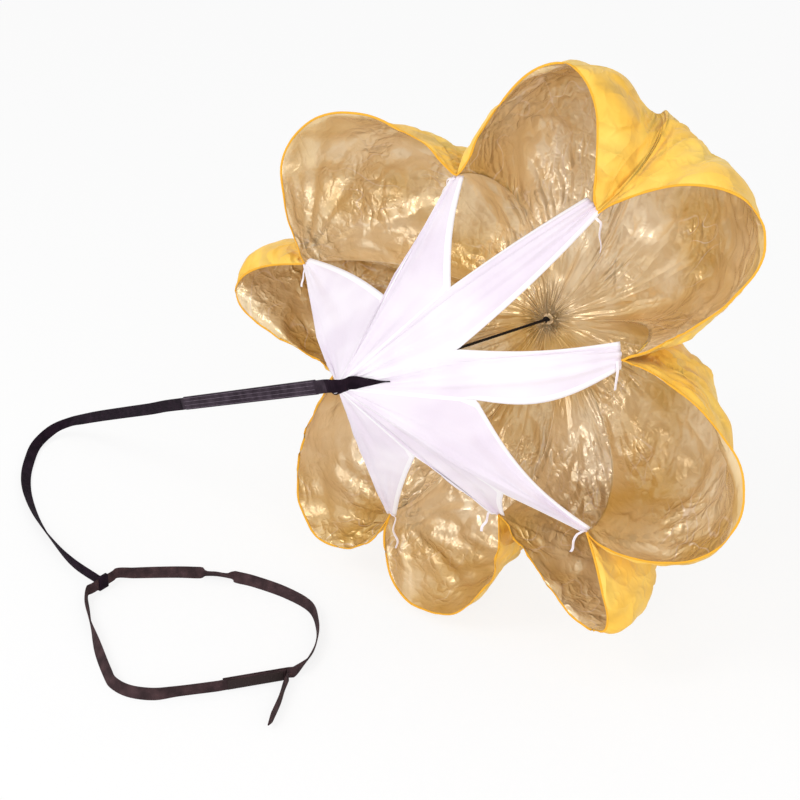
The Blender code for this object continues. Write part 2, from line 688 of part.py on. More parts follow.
def leash_loop(black):
    """The leash's sewn end: a flat loop round the belt and the fold that the strap turns on."""
    middle, run = loop_place()
    up = np.array([0.0, 0.0, 1.0])
    across = np.cross(up, run)
    thick = WEBBING_THICKNESS + 2 * LOOP_CLEARANCE
    tall = WEBBING_WIDTH + 2 * LOOP_CLEARANCE
    sleeve("leash_loop", middle, run, across, up, WEBBING_WIDTH, thick, tall, WEBBING_THICKNESS, black)
    axis = loop_front()
    low, high = axis - up * WEBBING_WIDTH / 2, axis + up * WEBBING_WIDTH / 2
    tube("leash_loop_fold", np.array([low, high]), EYE_RADIUS, KNOT_SIDES, black)


def patch_frame():
    angle = math.radians(PATCH_TURN_DEG)
    along = np.array([math.cos(angle), math.sin(angle)])
    start = np.array(LOOP_PLACE) + BELT_SPAN * np.array(PATCH_START_SHARES)
    return start, along, np.array([along[1], -along[0]])


def layer_step():
    """How far the belt's outer layer lies outside its inner layer."""
    return WEBBING_THICKNESS + HOOK_THICKNESS + 2 * REST_GAP


def belt_line():
    """Centre line of the belt's webbing, once round and over its own start."""
    start, along, outward = patch_frame()
    lap = [start + along * PATCH_LENGTH * share for share in LAP_SHARES]
    outer = [start + along * PATCH_LENGTH * share + outward * layer_step() for share in OUTER_LAP_SHARES]
    free = np.array(LOOP_PLACE) + BELT_SPAN * np.array(BELT_ROUTE_SHARES)
    route = np.array([*lap, *free, *outer])
    line = curve_through(np.column_stack([route, np.zeros(len(route))]), BELT_STEP)
    middle, run = loop_place()
    reach = np.abs((line - middle) @ run) + np.abs(line[:, 0] - middle[0])
    lift = np.clip((LIFT_END - reach) / (LIFT_END - LIFT_START), 0, 1)
    lift = lift * lift * (3 - 2 * lift)
    line[:, 2] = WEBBING_WIDTH / 2 + lift * (belt_lift() - WEBBING_WIDTH / 2)
    return line


def belt_parts(webbing, black):
    line = belt_line()
    swept("belt_webbing", line, [WEBBING_WIDTH] * len(line), upright(len(line)), WEBBING_THICKNESS, webbing)
    start, along, outward = patch_frame()
    up = np.array([0.0, 0.0, 1.0])
    along, outward = np.array([*along, 0.0]), np.array([*outward, 0.0])
    middle = np.array([*start, WEBBING_WIDTH / 2]) + along * PATCH_LENGTH / 2
    between = WEBBING_THICKNESS / 2 + REST_GAP + HOOK_THICKNESS / 2
    length = PATCH_LENGTH - 2 * PATCH_INSET
    height = WEBBING_WIDTH - 2 * PATCH_EDGE
    inside = middle + outward * between
    block("belt_loop_patch", inside, along, outward, up, length, HOOK_THICKNESS, height, black)
    outside = middle + outward * (layer_step() + between)
    block("belt_hook_patch", outside, along, outward, up, length, HOOK_THICKNESS, height, black)
    axis = tail_axis()
    first = axis + outward * TAIL_RISE
    route = [axis, first]
    for x, y in TAIL_ROUTE_SHARES:
        route.append(axis + TAIL_LENGTH * np.array([x, y, 0.0]))
    tail = curve_through(np.array(route), TAIL_STEP)
    rounded_band("belt_tail", tail, WEBBING_WIDTH, upright(len(tail)), WEBBING_THICKNESS, up, webbing)


def tail_axis():
    start, along, outward = patch_frame()
    end = start + along * PATCH_LENGTH + outward * layer_step()
    end = end + along * (REST_GAP + WEBBING_THICKNESS / 2)
    return np.array([*end, WEBBING_WIDTH / 2])


def carry(place, *names):
    """Puts the origin of each named object at its joint's axis."""
    for name in names:
        obj = bpy.data.objects[name]
        obj.data.transform(Matrix.Translation(-Vector(place)))
        obj.location = place


def place_origin():
    """Moves everything so that the origin is the middle of the canopy's mouth, on the hub line."""
    for obj in bpy.data.objects:
        obj.location -= Vector(MOUTH)


def main():
    clear_scene()
    shell_cloth = material("coated_nylon_yellow", (0.93, 0.58, 0.03), 0.45)
    white_cloth = material("white_polyester", (0.9, 0.88, 0.92), 0.7)
    black_webbing = material("black_webbing", (0.012, 0.010, 0.014), 0.75)
    belt_webbing = material("belt_webbing", (0.03, 0.024, 0.026), 0.75)
    grids = gores(shell_cloth)
    hems(grids, shell_cloth)
    panels(white_cloth)
    tapes(white_cloth)
    crown_parts(shell_cloth, black_webbing)
    gather_parts(white_cloth, black_webbing)
    leash_parts(black_webbing)
    leash_loop(black_webbing)
    belt_parts(belt_webbing, black_webbing)
    carry(leash_start(), "leash_webbing_doubled", "leash_stiffener_ply", "leash_strap")
    carry(loop_front(), "leash_loop", "leash_loop_fold")
    carry(loop_place()[0], "belt_webbing", "belt_loop_patch", "belt_hook_patch")
    carry(tail_axis(), "belt_tail")
    place_origin()
    for name in ("leash_webbing_doubled", "leash_loop", "belt_webbing", "belt_tail"):
        print(name, "moves about", np.round(bpy.data.objects[name].location, 5).tolist())


main()
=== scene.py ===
import json
import math

import bpy
import numpy as np
from mathutils import Matrix, Vector, kdtree, noise


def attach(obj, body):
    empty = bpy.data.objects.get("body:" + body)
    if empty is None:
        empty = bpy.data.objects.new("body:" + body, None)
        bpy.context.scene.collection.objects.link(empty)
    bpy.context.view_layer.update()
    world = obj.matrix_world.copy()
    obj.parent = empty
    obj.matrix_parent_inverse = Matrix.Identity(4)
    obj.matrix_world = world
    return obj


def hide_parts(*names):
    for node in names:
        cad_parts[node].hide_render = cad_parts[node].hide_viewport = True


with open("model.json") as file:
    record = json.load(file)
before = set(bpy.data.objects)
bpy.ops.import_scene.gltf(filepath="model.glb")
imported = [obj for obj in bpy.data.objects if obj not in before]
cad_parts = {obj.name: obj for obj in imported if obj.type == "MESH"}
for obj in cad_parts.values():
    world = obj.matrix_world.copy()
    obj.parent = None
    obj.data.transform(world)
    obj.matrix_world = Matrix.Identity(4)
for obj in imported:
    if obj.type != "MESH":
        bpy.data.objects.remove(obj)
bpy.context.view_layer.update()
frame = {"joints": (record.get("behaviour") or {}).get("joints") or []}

# The camera stands where the photograph was taken from; lengths in metres
camera = {
    "azimuthDeg": 38.0,
    "elevationDeg": 28.0,
    "distance": 3.0,
    "metresPerPixel": 0.00155,
    "imagePixels": 800,
    "pixelsRight": -75,  # from the target to the middle of the picture
    "pixelsUp": -33,
    "target": (0.0, 0.0, -0.042),
    "sensorMm": 36.0,
}


def placeCamera(setup):
    az, el = math.radians(setup["azimuthDeg"]), math.radians(setup["elevationDeg"])
    back = Vector((math.sin(az) * math.cos(el), -math.cos(az) * math.cos(el), math.sin(el)))
    right = Vector((math.cos(az), math.sin(az), 0))
    up = back.cross(right)
    aside = (right * setup["pixelsRight"] + up * setup["pixelsUp"]) * setup["metresPerPixel"]
    eye = Vector(setup["target"]) + aside + back * setup["distance"]
    pictureWidth = setup["metresPerPixel"] * setup["imagePixels"]
    data = bpy.data.cameras.new("camera")
    data.sensor_width = setup["sensorMm"]
    data.lens = setup["distance"] / pictureWidth * setup["sensorMm"]
    obj = bpy.data.objects.new("camera", data)
    obj.matrix_world = Matrix([[right[i], up[i], back[i], eye[i]] for i in range(3)] + [[0, 0, 0, 1]])
    bpy.context.collection.objects.link(obj)
    bpy.context.scene.camera = obj


placeCamera(camera)
print("camera placed")

millimetre = 0.001
waveTurn = 20.0  # a wave texture of scale 1 turns by 20 radians over a metre


def linearColor(hexColor):  # sRGB hex to linear
    srgb = [int(hexColor[i:i + 2], 16) / 255 for i in (1, 3, 5)]
    return [c / 12.92 if c <= 0.04045 else ((c + 0.055) / 1.055) ** 2.4 for c in srgb] + [1.0]


def newMaterial(name):
    made = bpy.data.materials.new(name)
    made.use_nodes = True
    tree = made.node_tree
    return made, tree, tree.nodes["Principled BSDF"]


def addNode(tree, kind, settings=None, links=None):
    # settings: attributes by name, or values by input name or number
    # links: input to the socket that feeds it
    node = tree.nodes.new("ShaderNode" + kind)
    for key, value in (settings or {}).items():
        if isinstance(key, str) and hasattr(node, key):
            setattr(node, key, value)
        else:
            node.inputs[key].default_value = value
    for key, socket in (links or {}).items():
        tree.links.new(socket, node.inputs[key])
    return node


def setShader(tree, shader, values, color=None, bump=None):
    # what is the same everywhere is set on the socket, and only what varies is linked
    for key, value in values.items():
        shader.inputs[key].default_value = value
    if color:
        tree.links.new(color, shader.inputs["Base Color"])
    if bump:
        tree.links.new(bump.outputs["Normal"], shader.inputs["Normal"])


def fromMiddle(tree, coordinate, shares, sizeMm, detail):
    # 0 on winding lines some sizeMm apart, rising evenly to both sides
    # a share under 1 draws the lines out along that axis
    place = addNode(tree, "VectorMath", {"operation": "MULTIPLY", 1: shares}, {0: coordinate})
    wave = addNode(tree, "TexNoise", {
        "Scale": 1 / (sizeMm * millimetre), "Detail": detail, "Roughness": 0.45, "Distortion": 0.35,
    }, {"Vector": place.outputs[0]})
    centred = addNode(tree, "Math", {"operation": "SUBTRACT", 1: 0.5}, {0: wave.outputs["Fac"]})
    return addNode(tree, "Math", {"operation": "ABSOLUTE"}, {0: centred.outputs[0]}).outputs[0]


def creased(tree, layers, strength=None):
    # sharp creases of several sizes added up as one bump
    # each layer is a coordinate with its shares, a size in mm and a slope
    total = None
    for coordinate, shares, sizeMm, slope in layers:
        height = fromMiddle(tree, coordinate, shares, sizeMm, 1.0)
        part = addNode(tree, "Math", {
            "operation": "MULTIPLY", 1: -2 * slope * sizeMm * millimetre}, {0: height}).outputs[0]
        total = part if total is None else addNode(
            tree, "Math", {"operation": "ADD"}, {0: total, 1: part}).outputs[0]
    links = {"Height": total} if strength is None else {"Height": total, "Strength": strength}
    return addNode(tree, "Bump", {"Strength": 1.0, "Distance": 1.0}, links)


def woven(tree, coordinate, threads, strength, reliefMm):
    # two sets of threads that cross, as one bump; each has a direction, a pitch in mm and a waver
    first, second = (addNode(tree, "TexWave", {
        "bands_direction": direction, "Distortion": waver,
        "Scale": 2 * math.pi / waveTurn / (pitchMm * millimetre),
    }, {"Vector": coordinate}).outputs["Fac"] for direction, pitchMm, waver in threads)
    both = addNode(tree, "Math", {"operation": "ADD"}, {0: first, 1: second})
    return addNode(tree, "Bump", {"Strength": strength, "Distance": reliefMm * millimetre},
                   {"Height": both.outputs[0]})


def mottle(tree, coordinate, patchMm, colors):
    # slow change of tone over the cloth
    slow = addNode(tree, "TexNoise", {
        "Scale": 1 / (patchMm * millimetre), "Detail": 2.0, "Roughness": 0.5}, {"Vector": coordinate})
    ramp = addNode(tree, "ValToRGB", {}, {"Fac": slow.outputs["Fac"]})
    for element, position, color in zip(ramp.color_ramp.elements, (0.35, 0.68), colors):
        element.position = position
        element.color = linearColor(color)
    return ramp.outputs["Color"]


def canopyOutsideCloth():
    # woven nylon taffeta, dyed: bright yellow, soft sheen, shallow creases where it was packed
    made, tree, shader = newMaterial("dyedNylonTaffeta")
    place = addNode(tree, "TexCoord").outputs
    tone = mottle(tree, place["Object"], 90, ("#F8C247", "#FFD562"))
    bump = creased(tree, (
        (place["Object"], (1, 1, 1), 120, 0.32),
        (place["UV"], (1, 0.35, 1), 40, 0.30),
        (place["Object"], (1, 1, 1), 22, 0.12),
    ))
    setShader(tree, shader, {
        "Roughness": 0.55, "IOR": 1.5, "Specular IOR Level": 0.4, "Sheen Weight": 0.1}, tone, bump)
    return made


def canopyInsideCloth():
    # the same nylon, coated with gold polyurethane: it shines like film; its pale patches are painted
    # sheen, and its pale crease lines are partly worn coating, partly painted glints
    made, tree, shader = newMaterial("goldCoatedNylon")
    place = addNode(tree, "TexCoord").outputs
    # painted sheen: the pale end of this slow mottle stands in for glare on the film-like coating, in
    # random patches
    tone = mottle(tree, place["Object"], 170, ("#D7AF60", "#F7E2BC"))
    along = (1, 0.28, 1)
    # the cloth is crumpled in some places and calm in others
    where = addNode(tree, "TexNoise", {"Scale": 1 / (120 * millimetre), "Detail": 1.0},
                    {"Vector": place["Object"]}).outputs["Fac"]
    crumpled = addNode(tree, "MapRange", {
        "From Min": 0.42, "From Max": 0.60, "To Min": 0.25, "To Max": 1.0}, {"Value": where})
    bump = creased(tree, (
        (place["UV"], along, 44, 0.32),
        (place["Object"], (1, 1, 0.45), 26, 0.30),
        (place["Object"], (1, 1, 1), 13, 0.16),
    ), crumpled.outputs["Result"])
    # pale lines on creases, in clusters: partly coating worn on a crease, partly painted glints where a
    # crease catches light
    line = addNode(tree, "MapRange", {
        "From Min": 0.0, "From Max": 0.03, "To Min": 0.5, "To Max": 0.0,
    }, {"Value": fromMiddle(tree, place["UV"], along, 19, 0.0)})
    cluster = addNode(tree, "MapRange", {"From Min": 0.47, "From Max": 0.60}, {"Value": where})
    broken = addNode(tree, "Math", {"operation": "MULTIPLY"},
                     {0: line.outputs["Result"], 1: cluster.outputs["Result"]})
    # painted glints mixed with wear: the crease lines are blended to a pale pink-white
    wearAndGlints = addNode(tree, "Mix", {"data_type": "RGBA", 7: linearColor("#FBEBDC")},
                   {0: broken.outputs[0], 6: tone})
    setShader(tree, shader, {
        "Metallic": 0.3, "Roughness": 0.26, "IOR": 1.6, "Specular IOR Level": 1.0,
        "Specular Tint": linearColor("#FFEFE8"), "Coat Weight": 0.5, "Coat Roughness": 0.16,
    }, wearAndGlints.outputs[2], bump)
    return made


def panelCloth():
    # plain white polyester lining, woven: matt and faintly lilac
    # its threads are 0.2 mm apart and drawn 5.92 mm apart, so that they show
    made, tree, shader = newMaterial("whitePolyesterLining")
    place = addNode(tree, "TexCoord").outputs
    tone = mottle(tree, place["Object"], 120, ("#E9DEEB", "#F6EFF7"))
    bump = woven(tree, place["UV"], (("X", 5.92, 0.4), ("Y", 5.92, 0.4)), 0.12, 0.4)
    setShader(tree, shader, {
        "Roughness": 0.8, "IOR": 1.45, "Specular IOR Level": 0.25, "Sheen Weight": 0.2}, tone, bump)
    return made


def wovenWebbing(name, dark, light):
    # polypropylene webbing, woven flat: matt, ribbed across, its cords a little wider apart
    # its ribs are about 1 mm apart and drawn 4.74 mm apart, so that they show
    made, tree, shader = newMaterial(name)
    place = addNode(tree, "TexCoord").outputs
    bump = woven(tree, place["UV"], (("Y", 4.74, 0.3), ("X", 6.16, 0.2)), 0.5, 0.5)
    setShader(tree, shader, {"Roughness": 0.85, "IOR": 1.5, "Specular IOR Level": 0.1},
              mottle(tree, place["Object"], 18, (dark, light)), bump)
    return made


def plainFibre(name, hexColor, roughness):
    # spun thread, cord or narrow tape: dull, even and a little fuzzy, its form does the rest
    made, tree, shader = newMaterial(name)
    place = addNode(tree, "TexCoord").outputs
    fuzz = addNode(tree, "TexNoise", {"Scale": 1 / (1.5 * millimetre), "Detail": 2.0},
                   {"Vector": place["Object"]})
    bump = addNode(tree, "Bump", {"Strength": 0.4, "Distance": 0.3 * millimetre},
                   {"Height": fuzz.outputs["Fac"]})
    setShader(tree, shader, {"Base Color": linearColor(hexColor), "Roughness": roughness,
                             "Specular IOR Level": 0.3}, bump=bump)
    return made


outsideCloth, insideCloth, liningCloth = canopyOutsideCloth(), canopyInsideCloth(), panelCloth()
leashWebbing = wovenWebbing("blackPolypropyleneWebbing", "#150A15", "#251723")
# the doubled leash's webbing: the same webbing as the strap's, drawn lighter
doubledLeashWebbing = wovenWebbing("lighterPolypropyleneWebbing", "#2C222B", "#443943")
beltWebbing = wovenWebbing("brownBlackPolypropyleneWebbing", "#35282A", "#4B383A")
hookTape = plainFibre("nylonHookTape", "#2A1C1B", 0.7)
blackCord = plainFibre("blackPolyesterCord", "#171316", 0.7)
# painted highlight: the thread is black but drawn mid-grey for the light it catches
blackThread = plainFibre("blackPolyesterThread", "#766876", 0.65)  # it catches more light than webbing
hemBinding = plainFibre("yellowNylonBinding", "#F0B030", 0.6)
whiteTape = plainFibre("whitePolyesterTape", "#F7F1F7", 0.75)
whiteHem = plainFibre("whitePolyesterHem", "#FBF8FC", 0.75)
print("materials made")


def unit(v):
    return v / np.maximum(np.linalg.norm(v, axis=-1, keepdims=True), 1e-12)


def squareTo(run, v):
    # direction v turned square to run
    return unit(v - (v * run).sum(-1, keepdims=True) * run)


def mix(a, b, share):
    return a * (1 - share) + b * share


def bezier(t, a, b, c, d):
    m = 1 - t
    return a * m**3 + 3 * b * m**2 * t + 3 * c * m * t**2 + d * t**3


def heading(centres, closed=False):
    ahead = np.roll(centres, -1, 0) - np.roll(centres, 1, 0) if closed else np.gradient(centres, axis=0)
    return unit(ahead)


def fullTurn(count):
    return 2 * math.pi * np.arange(count) / count


def runLength(points):
    # how far along its line each point is
    return np.concatenate([[0.0], np.linalg.norm(np.diff(points, axis=0), axis=1).cumsum()])


def curveThrough(points, spacing):
    # even steps along a smooth curve through rows of numbers whose first three are a place
    p = np.asarray(points, float)
    p = np.vstack([2 * p[0] - p[1], p, 2 * p[-1] - p[-2]])
    out = []
    for a, b, c, d in zip(p, p[1:], p[2:], p[3:]):
        for t in np.arange(24) / 24:  # fine enough for the even steps taken from it below
            bend, twist = 2 * a - 5 * b + 4 * c - d, 3 * b - a - 3 * c + d
            out.append(0.5 * (2 * b + (c - a) * t + bend * t**2 + twist * t**3))
    out = np.array(out + [p[-2]])
    run = runLength(out[:, :3])
    steps = np.linspace(0, run[-1], max(2, round(run[-1] / spacing) + 1))
    return np.stack([np.interp(steps, run, column) for column in out.T], 1)


def newPiece(name, mesh, materials, body=None, *nodes):
    # mesh: points, faces and, if it has any, a pair of metres for each point
    # body: what it rides on; nodes: the solids that it replaces
    points, faces, *uvs = mesh
    data = bpy.data.meshes.new(name)
    data.from_pydata(np.asarray(points, float).tolist(), [], [tuple(map(int, face)) for face in faces])
    for material in materials:
        data.materials.append(material)
    if uvs:
        layer = data.uv_layers.new(name="metres")
        for loop in data.loops:
            layer.data[loop.index].uv = [float(c) for c in uvs[0][loop.vertex_index]]
    data.shade_smooth()
    piece = bpy.data.objects.new(name, data)
    bpy.context.collection.objects.link(piece)
    if body:
        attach(piece, body)
    if nodes:
        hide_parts(*nodes)
    return piece


def gridFaces(rows, columns, closed=False):
    # quads of a grid of rows x columns points; closed joins the last column to the first
    faces = []
    for i in range(rows - 1):
        for j in range(columns if closed else columns - 1):
            a, b = i * columns + j, i * columns + (j + 1) % columns
            faces.append((a, b, b + columns, a + columns))
    return faces


def tubeFaces(rows, sides, closed=False):
    # faces round a tube whose ends are capped or, where it is closed, joined to each other
    faces, last = gridFaces(rows, sides, closed=True), (rows - 1) * sides
    if closed:
        return faces + [(last + j, last + (j + 1) % sides, (j + 1) % sides, j) for j in range(sides)]
    return faces + [tuple(range(sides))[::-1], tuple(range(last, last + sides))]


def bandFrame(centres, aside):
    run = heading(centres)
    across = squareTo(run, aside)
    return run, across, np.cross(run, across)


def bandMesh(centres, aside, widths, thickness, bow=0.0):
    # a flat band with rounded edges: its points, faces and metres across and along
    run, across, face = bandFrame(centres, aside)
    half = thickness / 2
    flat = np.maximum(np.broadcast_to(widths, len(centres)) / 2 - half, 0.0)
    turns = np.radians((-90, -45, 0, 45, 90))
    profile = [(1, math.cos(a), math.sin(a)) for a in turns] + [(x, 0, 1) for x in (0.5, 0, -0.5)]
    profile += [(-1, -math.cos(a), math.sin(a)) for a in turns[::-1]]
    profile += [(x, 0, -1) for x in (-0.5, 0, 0.5)]
    points, uvs = [], []
    along = runLength(centres)
    for share, edge, height in profile:
        x = share * flat + half * edge
        lift = height * half + bow * (1 - share**2)
        points.append(centres + across * x[:, None] + face * lift)
        uvs.append(np.stack([x, along], 1))
    faces = tubeFaces(len(centres), len(profile))
    return np.stack(points, 1).reshape(-1, 3), faces, np.stack(uvs, 1).reshape(-1, 2)


def tubeMesh(centres, radii, sides, closed=False):
    run = heading(centres, closed)
    first = unit(np.cross(run, [0.31, 0.17, 0.93]))  # square to no tube's own direction
    second = np.cross(run, first)
    turn = fullTurn(sides)
    ring = np.cos(turn)[:, None, None] * first + np.sin(turn)[:, None, None] * second
    points = (centres + np.reshape(radii, (-1, 1)) * ring).transpose(1, 0, 2).reshape(-1, 3)
    rows = len(centres)
    uvs = np.stack([np.tile(turn * np.mean(radii), rows), np.repeat(runLength(centres), sides)], 1)
    return points, tubeFaces(rows, sides, closed), uvs


def hoopMesh(centres, out, axis, width, thickness, profile):
    # a closed hoop of webbing; profile: shares of half its width and of half its thickness
    rows = [centres + out * t * thickness / 2 + axis * w * width / 2 for w, t in profile]
    return np.concatenate(rows), tubeFaces(len(rows), len(centres), closed=True)


def joined(parts):
    # several (points, faces, uvs) as one
    points, faces, uvs, start = [], [], [], 0
    for p, f, uv in parts:
        points.append(p)
        uvs.append(uv)
        faces += [tuple(i + start for i in face) for face in f]
        start += len(p)
    return np.concatenate(points), faces, np.concatenate(uvs)


mouthHeight = 0.482  # from the floor to the middle of the mouth, where the origin is
floorHeight = -mouthHeight
zUp = np.array([0.0, 0.0, 1.0])
yAhead = np.array([0.0, 1.0, 0.0])

# Leash and belt are of the same webbing; its bow is how far it bulges along its middle
webWidth, webThickness, webBow = 0.020, 0.0020, 0.0003

# The leash's doubled part, and its single strap
leash = {
    "strapBow": 0.0006,
    # places over the floor, and how far the strap's upper edge leans in degrees
    "route": (
        (-0.441, -0.202, 0.315, 0), (-0.511, -0.171, 0.275, 0), (-0.579, -0.143, 0.235, 0),
        (-0.693, -0.095, 0.170, 5), (-0.802, -0.057, 0.110, 10), (-0.873, -0.033, 0.070, 20),
        (-0.930, -0.018, 0.038, 35), (-0.962, -0.034, 0.018, 50), (-0.955, -0.082, 0.010, 60),
        (-0.925, -0.128, 0.008, 62), (-0.881, -0.178, 0.008, 60), (-0.827, -0.222, 0.008, 50),
        (-0.748, -0.270, 0.010, 35), (-0.656, -0.311, 0.012, 15), (-0.590, -0.332, 0.0126, 0),
        (-0.5192, -0.342, 0.0126, 0),
    ),
    "step": 0.006,
    "doubledStep": 0.008,
    "doubledWidth": 0.022,
    "plyGap": 0.0003,
    "sewn": slice(4, -1),  # the steps over which the two plies are sewn to each other
    "stitchPitch": 0.0042,
    "stitchLength": 0.0030,
    "stitchSize": 0.0008,
    "stitchShape": ((-0.5, 0.3), (-0.38, 0.85), (0, 1), (0.38, 0.85), (0.5, 0.3)),  # shares of both
    "stitchRows": (-0.0085, -0.0030, 0.0030, 0.0085),
}
doubleEnd = np.array(leash["route"][0][:3]) + [0, 0, floorHeight]
jointNames = [joint["name"] for joint in frame["joints"]]
leashStart = np.array(frame["joints"][jointNames.index("leash_swing")]["pos_m"])


def makeStrap(setup):
    line = curveThrough(setup["route"], setup["step"])
    centres, lean = line[:, :3].copy(), np.radians(line[:, 3])[:, None]
    aside = np.cos(lean) * zUp + np.sin(lean) * unit(np.cross(heading(centres), zUp))
    across = bandFrame(centres, aside)[1]
    lowest = np.abs(across[:, 2]) * webWidth / 2 + webThickness / 2
    centres[:, 2] = np.maximum(centres[:, 2], lowest) + floorHeight
    piece = newPiece("leash_strap_webbing",
                     bandMesh(centres, aside, webWidth, webThickness, setup["strapBow"]),
                     [leashWebbing], "leash", "leash_strap")
    length = round(float(runLength(centres)[-1]), 3)
    print("leash strap made,", length, "m")


makeStrap(leash)

# The hub line runs from the crown through the middle of the mouth to the gather
hub = {"tiltDeg": 10.0, "crownDepth": 0.200, "gatherLead": 0.330}
tilt = math.radians(hub["tiltDeg"])
outward = np.array([0.0, -math.cos(tilt), math.sin(tilt)])
sideways = np.array([1.0, 0.0, 0.0])
upward = np.array([0.0, math.sin(tilt), math.cos(tilt)])
crown = -outward * hub["crownDepth"]
gather = outward * hub["gatherLead"]


def hubOut(angle):
    # direction away from the hub line
    angle = np.asarray(angle, float)[..., None]
    return sideways * np.cos(angle) + upward * np.sin(angle)


def hubPoint(radius, angle, depth):
    radius, depth = (np.asarray(x, float)[..., None] for x in (radius, depth))
    return crown + outward * depth + radius * hubOut(angle)


# Eight lobes, each from its corner of the hem to the next, clockwise from the upper left
canopy = {
    # the seams end at the corners of the hem; handles: share of the radius where a seam leaves the
    # crown, its dimple there in metres and its share of the depth further out
    "corner": {
        "angleDeg": (172, 106.3, 54, 12, -44, -74, -111, -154),
        "swayDeg": (0, 0, 12, 4, 0, 0, 0, 0),
        "radius": 0.300,
        "radiusShares": (1.10, 0.86, 1.03, 0.93, 1.12, 0.92, 1.20, 0.99),
        "bulgeShares": (1.04, 1.10, 2.42, 1.10, 1.04, 1.04, 1.04, 1.04),
        "leadShares": (0.15, 0.0, 0.0, 0.15, 0.0, -0.05, -0.05, 0.0),
        "handles": (0.42, 0.050, 0.30),
        "overhang": 0.0,  # metres past the depth of the hem's corners
    },
    "lobe": {
        "radius": 0.500,
        "radiusShares": (0.835, 0.95, 1.00, 0.95, 1.03, 0.92, 0.97, 0.97),
        "bulgeShares": (0.96, 1.04, 1.02, 0.92, 0.94, 0.98, 0.98, 1.00),
        "leadShares": (0.0, 0.0, 0.0, 0.0, 0.0, -0.05, 0.0, 0.0),
        "handles": (0.62, 0.065, 0.16),
        "overhang": 0.005,
        "peakShares": (0.42, 0.50, 0.45, 0.55, 0.22, 0.50, 0.50, 0.62),
        "fullness": (1.0, 0.55, 0.60, 0.66, 0.95, 0.78, 0.72, 0.35),
        "leanDeg": (8, -16, 7, -12, 8, 0, 8, -16),
    },
    # the hem is drawn in from the cloth's widest line: where that starts, the place and radius of
    # the hem's peak, and how full it is on each side
    "hem": {
        "start": 0.55,
        "peakShares": (0.31, 0.57, 0.47, 0.48, 0.25, 0.62, 0.30, 0.59),
        "radiusShares": (0.924, 0.924, 1.07, 1.006, 0.962, 0.944, 1.002, 0.98),
        "firstFullness": (1.2, 1.85, 0.9, 1.0, 1.1, 0.5, 0.4, 2.5),
        "lastFullness": (1.5, 1.6, 1.25, 0.85, 2.6, 0.6, 1.6, 1.2),
        "depthShare": 1.025,
    },
    "across": 76,  # faces over one lobe
    "along": 84,
    "firstRow": 0.03,  # how far down the gore the first row of points is
    "thickness": 0.0005,
    "goreWidth": 0.30,  # for the pattern's scale: a gore's width and length
    "goreLength": 0.60,
    # what packing leaves in the cloth: size in mm, height in metres and seed of each set of creases
    "creases": ((95, 0.0050, 3.0), (40, 0.0020, 11.0)),
    # fans of folds where the panels and the crown line pull: their slope, how far they reach, and
    # the number and weight of the folds
    "cornerFolds": {"slope": 0.10, "reach": 0.080, "counts": ((15, 1), (26, 0.6))},
    "crownFolds": {"slope": 0.05, "reach": 0.120, "counts": ((18, 1), (32, 0.6))},
    "rimStart": 0.86,  # from here on creases flatten and the hem puckers
    "rimCalm": 0.7,
    "hemPucker": 0.0022,
    "puckerStep": 0.17,
    "crownCalm": (0.020, 0.060),  # no crease nearer to the crown than the first, all beyond the second
    "roomShare": 0.30,  # no crease is higher than this share of the way to the neighbouring lobe
}
lobeCount = len(canopy["corner"]["angleDeg"])


def cornerAngle(k):
    turns, i = divmod(k, lobeCount)
    return math.radians(canopy["corner"]["angleDeg"][i] - 360 * turns)


def seamAngle(k, along):
    sway = math.radians(canopy["corner"]["swayDeg"][k % lobeCount])
    return cornerAngle(k) + sway * np.sin(math.pi * along) ** 2


def profile(k, along, setup):
    # distance from the hub line and depth of a seam or of the middle of a lobe
    i = k % lobeCount
    radius = setup["radius"] * setup["radiusShares"][i]
    depth = hub["crownDepth"] * (1 + setup["leadShares"][i])
    start, dimple, low = setup["handles"]
    r = bezier(along, 0.0, radius * start, radius * setup["bulgeShares"][i], radius)
    return r, bezier(along, 0.0, -dimple, depth * low, depth + setup["overhang"])


def betweenSeams(k, across, along):
    (r0, s0), (r1, s1) = (profile(i, along, canopy["corner"]) for i in (k, k + 1))
    return mix(r0, r1, across), mix(s0, s1, across)


def hemLine(k, across, setup):
    r, s = betweenSeams(k, across, 1.0)
    peak = setup["peakShares"][k]
    first = np.sin(math.pi / 2 * np.clip(across / peak, 0, 1)) ** setup["firstFullness"][k]
    last = np.sin(math.pi / 2 * np.clip((1 - across) / (1 - peak), 0, 1)) ** setup["lastFullness"][k]
    swell = np.where(across < peak, first, last)
    r = mix(r, canopy["lobe"]["radius"] * setup["radiusShares"][k], swell)
    s = mix(s, hub["crownDepth"] * setup["depthShare"], swell)
    return r, mix(cornerAngle(k), cornerAngle(k + 1), across), s


def lobePoint(k, across, along):
    lobe, hemShape = canopy["lobe"], canopy["hem"]
    skew = math.log(0.5) / math.log(lobe["peakShares"][k])
    swell = np.sin(math.pi * across**skew) ** lobe["fullness"][k]
    r, s = (mix(*pair, swell) for pair in zip(betweenSeams(k, across, along), profile(k, along, lobe)))
    lean = math.radians(lobe["leanDeg"][k]) * np.sin(math.pi * across) * along**2
    angle = mix(seamAngle(k, along), seamAngle(k + 1, along), across) + lean
    draw = np.clip((along - hemShape["start"]) / (1 - hemShape["start"]), 0, 1) ** 2
    return hubPoint(*(mix(*pair, draw) for pair in zip((r, angle, s), hemLine(k, across, hemShape))))


def cornerPoint(k):
    r, s = profile(k, 1.0, canopy["corner"])
    return hubPoint(r, cornerAngle(k), s)


def ridged(points, sizeMm, seed):
    # 1 on a crease, falling evenly to both sides, about 0 in the mean
    shift = Vector((seed, seed * 3.1, seed * 0.7))
    scaled = points / (sizeMm * millimetre)
    return np.array([0.55 - 3.2 * abs(noise.noise(Vector(p) + shift)) for p in scaled])


